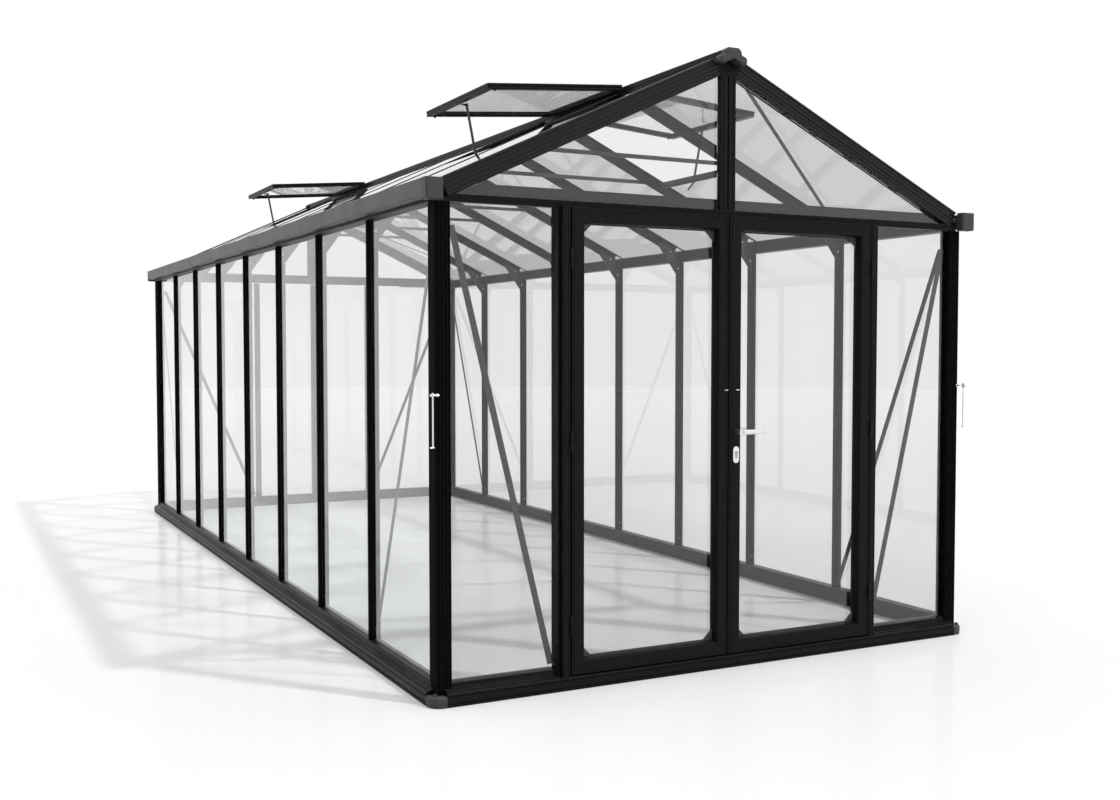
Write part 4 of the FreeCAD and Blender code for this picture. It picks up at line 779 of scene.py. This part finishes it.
# Ridge end caps: plastic mouldings over the ridge and the tops of the gable rafters, with a flat
# top, sloping shoulders and a stepped ear on each side.
cap_end_low, cap_end_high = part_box("ridge_end_caps")
RIDGE_CAP_NEAR = 3.0440
ridge_cap_half = [
    (0.000, cap_end_low.z + 0.024),
    (0.046, cap_end_low.z),
    (cap_end_high.x, cap_end_low.z + 0.006),
    (cap_end_high.x, cap_end_low.z + 0.027),
    (0.058, cap_end_low.z + 0.034),
    (0.041, cap_end_low.z + 0.039),
    (0.038, cap_end_high.z - 0.012),
    (0.025, cap_end_high.z),
]
ridge_cap_outline = ridge_cap_half + [(-x, z) for x, z in ridge_cap_half[:0:-1]]
FACE_WIDE = 0.90
FACE_HIGH = 0.84
cap_middle = (cap_end_low.z + cap_end_high.z) / 2
ridge_cap_face = [
    (x * FACE_WIDE, cap_middle + (z - cap_middle) * FACE_HIGH) for x, z in ridge_cap_outline
]
ridge_cap_shapes = []
for end in ENDS:
    place = across_gable(1, end)
    ridge_cap_shapes.append(bar(ridge_cap_outline, RIDGE_CAP_NEAR, cap_end_high.y - 0.004, place))
    ridge_cap_shapes.append(bar(ridge_cap_face, RIDGE_CAP_NEAR + 0.004, cap_end_high.y, place))
assemble(
    "ridge_cap_mouldings", ridge_cap_shapes, moulding, "frame", ["ridge_end_caps"], 0.0018, 3
)


# Roof rafters: T-shaped extrusions under the joints of the roof panes, as the wall posts are, and
# the caps that are snapped over those joints outside, with their seals.
ROOF_GLASS_TOP = -0.0045
ROOF_FLANGE_TOP = ROOF_GLASS_TOP - 0.005
ROOF_FLANGE_LOW = ROOF_FLANGE_TOP - 0.004
ROOF_WEB_LOW = ROOF_FLANGE_LOW - 0.0485
rafter_outline = both_halves(
    [
        (ROOF_FLANGE_TOP, 0.020),
        (ROOF_FLANGE_LOW, 0.020),
        (ROOF_FLANGE_LOW - 0.001, 0.0025),
        (ROOF_WEB_LOW + 0.006, 0.0025),
        (ROOF_WEB_LOW + 0.005, 0.0055),
        (ROOF_WEB_LOW, 0.0055),
    ]
)


def rafter_at(side, middle):
    """Places a section (out of the roof, along the ridge from the bar) going down the slope."""
    place = down_slope(side)
    return lambda out, along, down: place(out, middle + along, down)


for side, word in ((1, "right"), (-1, "left")):
    rafters = [bar(rafter_outline, 0.080, 1.355, rafter_at(side, middle)) for middle in BAR_PLACES]
    node = f"roof_rafters_{word}"
    assemble(f"rafter_tees_{word}", rafters, black_coat, "frame", [node])

ROOF_CAP_LOW = ROOF_GLASS_TOP + 0.0005
roof_cap_outline = both_halves(
    [(-0.0028, 0.0015), (-0.0020, 0.0020), (-0.0020, 0.0080), (-0.0030, 0.010), (ROOF_CAP_LOW, 0.010)]
)
ROOF_CAP_SPAN = (0.080, 1.431)
roof_cap_shapes = [
    bar(roof_cap_outline, *ROOF_CAP_SPAN, rafter_at(side, middle)) for side in SIDES for middle in BAR_PLACES
]
assemble(
    "roof_cap_strips", roof_cap_shapes, black_coat, "frame", ["roof_glazing_caps"], 0.0004
)

roof_seal_shapes = []
for low, high in ((-0.0116, -0.0101), (0.0101, 0.0116)):
    roof_seal = strip((ROOF_GLASS_TOP + 0.0001, low), (ROOF_GLASS_TOP + 0.0010, high))
    for side in SIDES:
        for middle in BAR_PLACES:
            roof_seal_shapes.append(bar(roof_seal, *ROOF_CAP_SPAN, rafter_at(side, middle)))
assemble("roof_seals", roof_seal_shapes, rubber, "frame", (), 0.0002, 1)


# Vent sills: grooved bars across the lower edge of each vent hole, with an upstanding lip that
# the closed vent shuts over.
SILL_SPAN = (0.702, 0.728)
sill_corners = [
    (-0.040, SILL_SPAN[0]),
    (-0.040, SILL_SPAN[1]),
    (-0.0105, SILL_SPAN[1]),
    (-0.0105, SILL_SPAN[0] + 0.018),
    (-0.0160, SILL_SPAN[0] + 0.016),
    (-0.0160, SILL_SPAN[0]),
]
sill_grooves = {0: [(0.008, 0.003, 0.002), (0.018, 0.003, 0.002)]}
VENTS = {
    "left_front": (-1, -1.875),
    "left_rear": (-1, 1.875),
    "right_front": (1, -1.875),
}


def across_slope(side):
    """Places a section (out of the roof, down the slope) of a bar that runs along the ridge."""
    place = down_slope(side)
    return lambda out, down, along: place(out, along, down)


sill_outline = profile(sill_corners, sill_grooves)
sill_shapes = [
    bar(sill_outline, middle - 0.354, middle + 0.354, across_slope(side)) for side, middle in VENTS.values()
]
assemble("vent_sill_bars", sill_shapes, black_coat, "frame", ["vent_sills"])


# Ties, haunch plates and wind braces: flat bars and plates cut from coated strip, screwed to the
# webs of the posts and rafters. Their CAD shapes are kept as they are.
strip_black = finish("flat_bar_coat", (0.0060, 0.0060, 0.0064, 1.0), 0.42, shine=0.18, dust=0.06, edge_wear_highlight=0.3)


def repaint(node, material):
    """Gives a CAD node that keeps its shape a finish of its own."""
    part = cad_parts[node]
    part.data.materials.clear()
    part.data.materials.append(material)
    return part


for flat_part in ("collar_ties", "haunch_gussets", "braces"):
    repaint(flat_part, strip_black)


# Frame screws: bright zinc-plated pan heads with washers, two on each haunch plate and two at the
# foot of each wall post.
# The zinc's edges are lightened towards near white: rubbed wear and a painted edge glint.
zinc = finish(
    "bright_zinc", (0.62, 0.63, 0.65, 1.0), 0.34, metallic=1.0, grain=420.0, depth=0.35, dust=0.10, edge_wear_highlight=0.2,
    edge_wear_highlight_colour=(0.85, 0.85, 0.86, 1.0),
)


def turned(outline, place, around=18):
    """Shape turned on a lathe: outline gives (radius, along) points from end to end."""
    turns = [2 * math.pi * step / around for step in range(around)]
    return loft(
        [
            [place(radius * math.cos(turn), radius * math.sin(turn), along) for turn in turns]
            for radius, along in outline
        ]
    )


SCREW_HEAD = [
    (0.0058, 0.0),
    (0.0058, 0.0008),
    (0.0046, 0.0009),
    (0.0045, 0.0022),
    (0.0036, 0.0034),
    (0.0018, 0.0039),
]
WEB_HALF = 0.0025
PLATE_THICK = 0.004
HAUNCH_SCREWS = ((1.2335, 1.810), (1.1765, 1.912))
FOOT_SCREWS = ((-0.012, 0.130), (0.012, 0.150))
FLANGE_FACE_X = 1.2505


def facing_front(x, y, z):
    """Places a turned part's point on a face that looks to the front."""
    return lambda a, b, out: (x + a, y - out, z + b)


def facing_room(side, y, z):
    """Places a turned part's point on the inner face of a side wall's flange."""
    return lambda a, b, out: (side * (FLANGE_FACE_X - out), y + a, z + b)


screw_shapes = []
for side in SIDES:
    for middle in BAR_PLACES:
        plate_face = middle - WEB_HALF - PLATE_THICK
        for across, height in HAUNCH_SCREWS:
            screw_shapes.append(turned(SCREW_HEAD, facing_front(side * across, plate_face, height)))
        for offset, height in FOOT_SCREWS:
            screw_shapes.append(turned(SCREW_HEAD, facing_room(side, middle + offset, height)))
assemble("frame_screws", screw_shapes, zinc, "frame", ["frame_bolts"], 0.0002, 1)


# Fixed glass: clear toughened panes in the walls, the gables and the roof, faintly grey, with a
# thin film of dried rain marks.
def clear_glass(name, colour, bending=1.5):
    """Toughened glass with faint water marks in its gloss; shadows fall through it."""
    material, tree, shader = new_material(
        name, Base_Color=colour, Metallic=0.0, Transmission_Weight=1.0, IOR=bending
    )
    marks = noise_node(tree, 5.0, 8.0, (1.0, 1.0, 0.25))
    above = sum_node(tree, "MAXIMUM", sum_node(tree, "SUBTRACT", marks, 0.5), 0.0)
    tree.links.new(sum_node(tree, "MULTIPLY", above, 0.01), shader.inputs["Roughness"])
    light_path = tree.nodes.new("ShaderNodeLightPath")
    see_through = tree.nodes.new("ShaderNodeBsdfTransparent")
    see_through.inputs["Color"].default_value = (0.93, 0.94, 0.94, 1.0)
    either = tree.nodes.new("ShaderNodeMixShader")
    output = tree.nodes["Material Output"]
    tree.links.new(light_path.outputs["Is Shadow Ray"], either.inputs["Fac"])
    tree.links.new(shader.outputs["BSDF"], either.inputs[1])
    tree.links.new(see_through.outputs["BSDF"], either.inputs[2])
    tree.links.new(either.outputs["Shader"], output.inputs["Surface"])
    return material


pane_glass = clear_glass("grey_pane", (0.845, 0.845, 0.845, 1.0))
wall_glass = clear_glass("clear_pane", (0.935, 0.945, 0.948, 1.0))
roof_glass = clear_glass("roof_pane", (0.690, 0.695, 0.705, 1.0), 1.22)
for end_word in ("front", "rear"):
    repaint(f"gable_glass_{end_word}", pane_glass)
for side_word in ("left", "right"):
    repaint(f"wall_glass_{side_word}", wall_glass)
    repaint(f"roof_glass_{side_word}", roof_glass)


# Door jambs: deep black extrusions on both sides of the doorway, with a narrow grooved face and a
# step back to the side lights.
jamb_low, jamb_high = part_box("door_jambs")
jamb_corners = [
    (0.7405, 2.9935),
    (DOORWAY_HALF, 2.9935),
    (DOORWAY_HALF, 3.0485),
    (0.7820, 3.0505),
    (0.7735, 3.0505),
    (0.7735, 3.0705),
    (0.7715, 3.0725),
    (0.7425, 3.0725),
    (0.7405, 3.0705),
]
jamb_grooves = {
    0: [(0.020, 0.006, 0.003)],
    6: [(0.0070, 0.0020, 0.0020), (0.0220, 0.0020, 0.0020)],
}
jamb_outline = profile(jamb_corners, jamb_grooves)
jamb_shapes = [bar(jamb_outline, jamb_low.z, jamb_high.z, upright(side, -1)) for side in SIDES]
assemble("door_jamb_extrusions", jamb_shapes, black_coat, "frame", ["door_jambs"])


# Door leaves: mitred frames of wide extrusions with a groove along the outer edge and a bevelled
# glazing bead, glass held in black seals, and flat corner plates across the inner corners.
MITRE_GAP = 0.00012


def mitred_frame(section, low, high, widths, place):
    """Four bars mitred round an opening; section gives (share of the width, depth) points."""
    left, right, bottom, top = widths
    rings = []
    for share, deep in section:
        rings.append(
            [
                (low[0] + share * left, low[1] + share * bottom, deep),
                (high[0] - share * right, low[1] + share * bottom, deep),
                (high[0] - share * right, high[1] - share * top, deep),
                (low[0] + share * left, high[1] - share * top, deep),
            ]
        )
    shapes = []
    for edge in range(4):
        starts = [Vector(ring[edge]) for ring in rings]
        stops = [Vector(ring[(edge + 1) % 4]) for ring in rings]
        run = (stops[0] - starts[0]).normalized() * MITRE_GAP
        near_ring = [place(*(point + run)) for point in starts]
        far_ring = [place(*(point - run)) for point in stops]
        shapes.append(loft([near_ring, far_ring]))
    return shapes


LEAF_FRONT = 3.0745
LEAF_BACK = 3.0245
LEAF_Z = (0.059, 1.853)
LEAF_RAIL = 0.058
LEAVES = {
    "left": ((-0.7345, -0.0145), (0.058, 0.052)),
    "right": ((-0.0095, 0.7345), (0.0635, 0.058)),
}
leaf_section = [
    (0.000, LEAF_BACK),
    (0.000, LEAF_FRONT - 0.0015),
    (0.025, LEAF_FRONT),
    (0.130, LEAF_FRONT),
    (0.130, LEAF_FRONT - 0.0020),
    (0.165, LEAF_FRONT - 0.0020),
    (0.165, LEAF_FRONT),
    (0.880, LEAF_FRONT),
    (0.915, LEAF_FRONT - 0.0030),
    (1.000, LEAF_FRONT - 0.0150),
    (1.000, LEAF_BACK + 0.0030),
    (0.950, LEAF_BACK),
]
glass_low, glass_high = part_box("door_left_glass")
BEAD_WIDE = 0.0035
bead_section = [
    (0.0, -glass_low.y + 0.0045),
    (0.0, -glass_high.y - 0.0035),
    (1.0, -glass_high.y - 0.0010),
    (1.0, -glass_low.y + 0.0010),
]


def on_front(x, z, deep):
    """Places an elevation point of a door part, going out of the front."""
    return x, -deep, z


for word, (span, stiles) in LEAVES.items():
    low_corner = (span[0], LEAF_Z[0])
    high_corner = (span[1], LEAF_Z[1])
    widths = (*stiles, LEAF_RAIL, LEAF_RAIL)
    leaf_shapes = mitred_frame(leaf_section, low_corner, high_corner, widths, on_front)
    body = f"door_{word}"
    node = f"door_{word}_frame"
    assemble(f"door_leaf_{word}", leaf_shapes, black_coat, body, [node], 0.0008)
    low_corner, high_corner = [(point.x, point.z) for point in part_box(f"door_{word}_glass")]
    leaf_seals = mitred_frame(bead_section, low_corner, high_corner, [BEAD_WIDE] * 4, on_front)
    assemble(f"door_seal_{word}", leaf_seals, rubber, body, (), 0.0003, 1)
    repaint(f"door_{word}_glass", pane_glass)
    repaint(f"door_{word}_corner_plates", strip_black)
    repaint(f"door_{word}_hinges", black_coat)
repaint("door_hinge_brackets", black_coat)


# Lock and lever: a cylinder lock in the right leaf's meeting stile, oval escutcheons and a pair of
# tapering cast levers, all in bright satin metal. The lever turns and draws the latch bolt.
def brushed_metal(name, colour, roughness, stretch):
    """Satin metal with fine lines left by the brush, and finger marks in the gloss."""
    material, tree, shader = new_material(name, Metallic=1.0)
    lines = noise_node(tree, 140.0, 2.0, stretch)
    marks = noise_node(tree, 30.0, 5.0)
    darker = tuple(0.86 * part for part in colour[:3]) + (1.0,)
    tree.links.new(blend_colour(tree, marks, colour, darker), shader.inputs["Base Color"])
    uneven = sum_node(tree, "MULTIPLY", sum_node(tree, "ADD", lines, marks), 0.09)
    tree.links.new(sum_node(tree, "ADD", uneven, roughness - 0.09), shader.inputs["Roughness"])
    raise_grain(tree, shader, lines, 0.12, 0.0002)
    return material


def round_rectangle(half_wide, half_high, radius, steps=4):
    """Rounded rectangle about the origin."""
    points = []
    corners = ((1, 1, 0), (-1, 1, 1), (-1, -1, 2), (1, -1, 3))
    for across, up, quarter in corners:
        for step in range(steps + 1):
            turn = (quarter + step / steps) * math.pi / 2
            points.append(
                (
                    across * (half_wide - radius) + radius * math.cos(turn),
                    up * (half_high - radius) + radius * math.sin(turn),
                )
            )
    return points


satin = brushed_metal("satin_lever_metal", (0.88, 0.88, 0.87, 1.0), 0.30, (1.0, 12.0, 12.0))
LOCK_X = 0.022
LEVER_Z = 0.975
LEVER_TIP = 0.140
LEVER_DEEP = 0.012
lever_shapes = []
for outer_end, leaf_side, into in ((3.1235, 3.0765, -1), (2.9755, 3.0225, 1)):
    neck_rings = []
    for deep, half in (
        (leaf_side, 0.0095),
        (leaf_side - into * 0.004, 0.0100),
        (outer_end + into * 0.003, 0.0100),
        (outer_end, 0.0085),
    ):
        ring = round_rectangle(half, half + 0.002, 0.0045)
        neck_rings.append([(LOCK_X + x, -deep, LEVER_Z + z) for x, z in ring])
    lever_shapes.append(loft(neck_rings))
    middle_deep = outer_end + into * LEVER_DEEP / 2
    grip_rings = []
    for along, half_high, half_deep in (
        (LOCK_X + 0.004, 0.0098, 0.0060),
        (LOCK_X + 0.030, 0.0098, 0.0060),
        (LEVER_TIP - 0.040, 0.0088, 0.0056),
        (LEVER_TIP - 0.003, 0.0082, 0.0052),
        (LEVER_TIP, 0.0070, 0.0040),
    ):
        ring = round_rectangle(half_high, half_deep, 0.0035)
        grip_rings.append([(along, -middle_deep + y, LEVER_Z + z) for z, y in ring])
    lever_shapes.append(loft(grip_rings))
SPINDLE_HALF = 0.004
spindle = strip(
    (LOCK_X - SPINDLE_HALF, LEVER_Z - SPINDLE_HALF), (LOCK_X + SPINDLE_HALF, LEVER_Z + SPINDLE_HALF)
)
lever_shapes.append(bar(spindle, 3.0225, 3.0765, on_front))
assemble("lever_pair", lever_shapes, satin, "lever", ["lever_handle"], 0.0005, 2)

OVAL_LOW = 0.861
OVAL_HIGH = 0.901
OVAL_RADIUS = 0.015


def oval(radius):
    """Upright oval about the lock's centre line: two half rounds joined by straight sides."""
    points = []
    for half, centre in ((0, OVAL_HIGH), (1, OVAL_LOW)):
        for step in range(17):
            turn = math.pi * (half + step / 16)
            points.append((LOCK_X + radius * math.cos(turn), centre + radius * math.sin(turn)))
    return points


plate_shapes = []
for stile, outward in ((LEAF_FRONT, 1), (LEAF_BACK, -1)):
    plate_rings = []
    for out, shrink in ((0.0, 0.0), (0.0050, 0.0), (0.0068, 0.0008), (0.0077, 0.0022), (0.0080, 0.0042)):
        deep = stile + outward * out
        plate_rings.append([(x, -deep, z) for x, z in oval(OVAL_RADIUS - shrink)])
    plate_shapes.append(loft(plate_rings))
chrome = brushed_metal("bright_escutcheon", (0.93, 0.93, 0.93, 1.0), 0.16, (1.0, 1.0, 1.0))
assemble(
    "oval_escutcheons", plate_shapes, chrome, "door_right", ["lock_escutcheons"], 0.0002, 1
)

CYLINDER_Z = 0.889
CYLINDER_RADIUS = 0.0085
CYLINDER_FRONT = 3.0845
CYLINDER_BACK = 3.0145
cylinder_outline = []
for step in range(25):
    turn = math.radians(-54 + step * 288 / 24)
    cylinder_outline.append(
        (LOCK_X + CYLINDER_RADIUS * math.cos(turn), CYLINDER_Z + CYLINDER_RADIUS * math.sin(turn))
    )
cylinder_outline += [
    (LOCK_X - 0.005, 0.868),
    (LOCK_X - 0.003, 0.8655),
    (LOCK_X + 0.003, 0.8655),
    (LOCK_X + 0.005, 0.868),
]
cylinder_shapes = [bar(cylinder_outline, CYLINDER_BACK + 0.0006, CYLINDER_FRONT - 0.0006, on_front)]
PLUG_RADIUS = 0.0060
for low, high in ((CYLINDER_FRONT - 0.0005, CYLINDER_FRONT), (CYLINDER_BACK, CYLINDER_BACK + 0.0005)):
    for half in (-1, 1):
        plug_half = []
        for step in range(13):
            turn = math.radians(-82 + step * 164 / 12)
            x = LOCK_X + half * PLUG_RADIUS * math.cos(turn)
            plug_half.append((x, CYLINDER_Z + PLUG_RADIUS * math.sin(turn)))
        cylinder_shapes.append(bar(plug_half, low, high, on_front))
nickel = brushed_metal("dull_nickel", (0.46, 0.45, 0.43, 1.0), 0.30, (1.0, 1.0, 1.0))
assemble("lock_cylinder", cylinder_shapes, nickel, "door_right", ["key_cylinder"], 0.00015, 1)
repaint("latch_bolt", nickel)
repaint("lock_case", zinc)


# Door hooks: bent bright wire hooks that hang from studs on the corner posts and hold the leaves
# by their eyes when these are folded back. Their CAD shapes are kept as they are.
wire = finish(
    "bright_wire", (0.90, 0.90, 0.91, 1.0), 0.24, metallic=1.0, grain=700.0, depth=0.25, dust=0.05, edge_wear_highlight=0.2,
    edge_wear_highlight_colour=(0.9, 0.9, 0.9, 1.0),
)
repaint("hook_studs", wire)
for side_word in ("left", "right"):
    repaint(f"door_hook_{side_word}", wire)
    repaint(f"door_{side_word}_hook_eye", wire)


# Roof vents: mitred light frames hinged at the ridge and standing open, each with a pane, a lug
# below the lower rail, two rubber buffers and a flat stay bar that hangs from the lug.
VENT_PITCH = math.radians(4.8)
VENT_HINGE_X = 0.030
VENT_HALF = 0.369
VENT_SPAN = (0.004, 0.688)
VENT_RAIL = 0.030
VENT_LOW_RAIL = 0.034
VENT_SEAL = 0.003


def on_vent(side):
    """Places a vent's point (down from the hinge, along the ridge, out of the pane)."""
    def place(down, along, out):
        across = VENT_HINGE_X + down * math.cos(VENT_PITCH) + out * math.sin(VENT_PITCH)
        height = RIDGE_LINE - down * math.sin(VENT_PITCH) + out * math.cos(VENT_PITCH)
        return side * across, along, height
    return place


vent_section = [
    (0.00, -0.0135),
    (0.00, -0.0050),
    (0.05, -0.0045),
    (0.05, 0.0015),
    (0.00, 0.0020),
    (0.00, 0.0120),
    (0.05, 0.0135),
    (0.82, 0.0135),
    (1.00, 0.0070),
    (1.00, -0.0105),
    (0.90, -0.0135),
]
vent_seal_section = [(0.0, 0.0050), (0.0, -0.0050), (1.0, -0.0032), (1.0, 0.0032)]
# The vent panes are the roof's glass with a lighter tint than roof_pane, so that they look lighter seen from
# below at a grazing angle: painted reflection.
vent_glass_lightened = clear_glass("vent_pane_lightened", (0.820, 0.825, 0.830, 1.0), 1.3)
stay_steel = finish("stay_steel", (0.018, 0.018, 0.019, 1.0), 0.40, shine=0.4, dust=0.1, edge_wear_highlight=0.6)
lug_outline = [(0.626, -0.0240), (0.640, -0.0240), (0.662, -0.0175), (0.662, -0.0134), (0.626, -0.0134)]


def lug_on_vent(side):
    """Places a lug's elevation point (down from the hinge, out of the pane), going along the ridge."""
    place = on_vent(side)
    return lambda down, out, along: place(down, along, out)


for word, (side, middle) in VENTS.items():
    place = on_vent(side)
    body = f"vent_{word}"
    near_corner = (VENT_SPAN[0], middle - VENT_HALF)
    far_corner = (VENT_SPAN[1], middle + VENT_HALF)
    widths = (VENT_RAIL, VENT_LOW_RAIL, VENT_RAIL, VENT_RAIL)
    vent_shapes = mitred_frame(vent_section, near_corner, far_corner, widths, place)
    vent_shapes.append(bar(lug_outline, middle - 0.005, middle - 0.002, lug_on_vent(side)))
    assemble(f"vent_light_{word}", vent_shapes, black_coat, body, [f"{body}_frame"])
    near_pane = (VENT_SPAN[0] + VENT_RAIL, middle - VENT_HALF + VENT_RAIL)
    far_pane = (VENT_SPAN[1] - VENT_LOW_RAIL, middle + VENT_HALF - VENT_RAIL)
    vent_seals = mitred_frame(vent_seal_section, near_pane, far_pane, [VENT_SEAL] * 4, place)
    assemble(f"vent_seal_{word}", vent_seals, rubber, body, (), 0.0003, 1)
    repaint(f"vent_{word}_glass", vent_glass_lightened)
    repaint(f"vent_{word}_buffers", rubber)
    repaint(f"vent_{word}_stay", stay_steel)
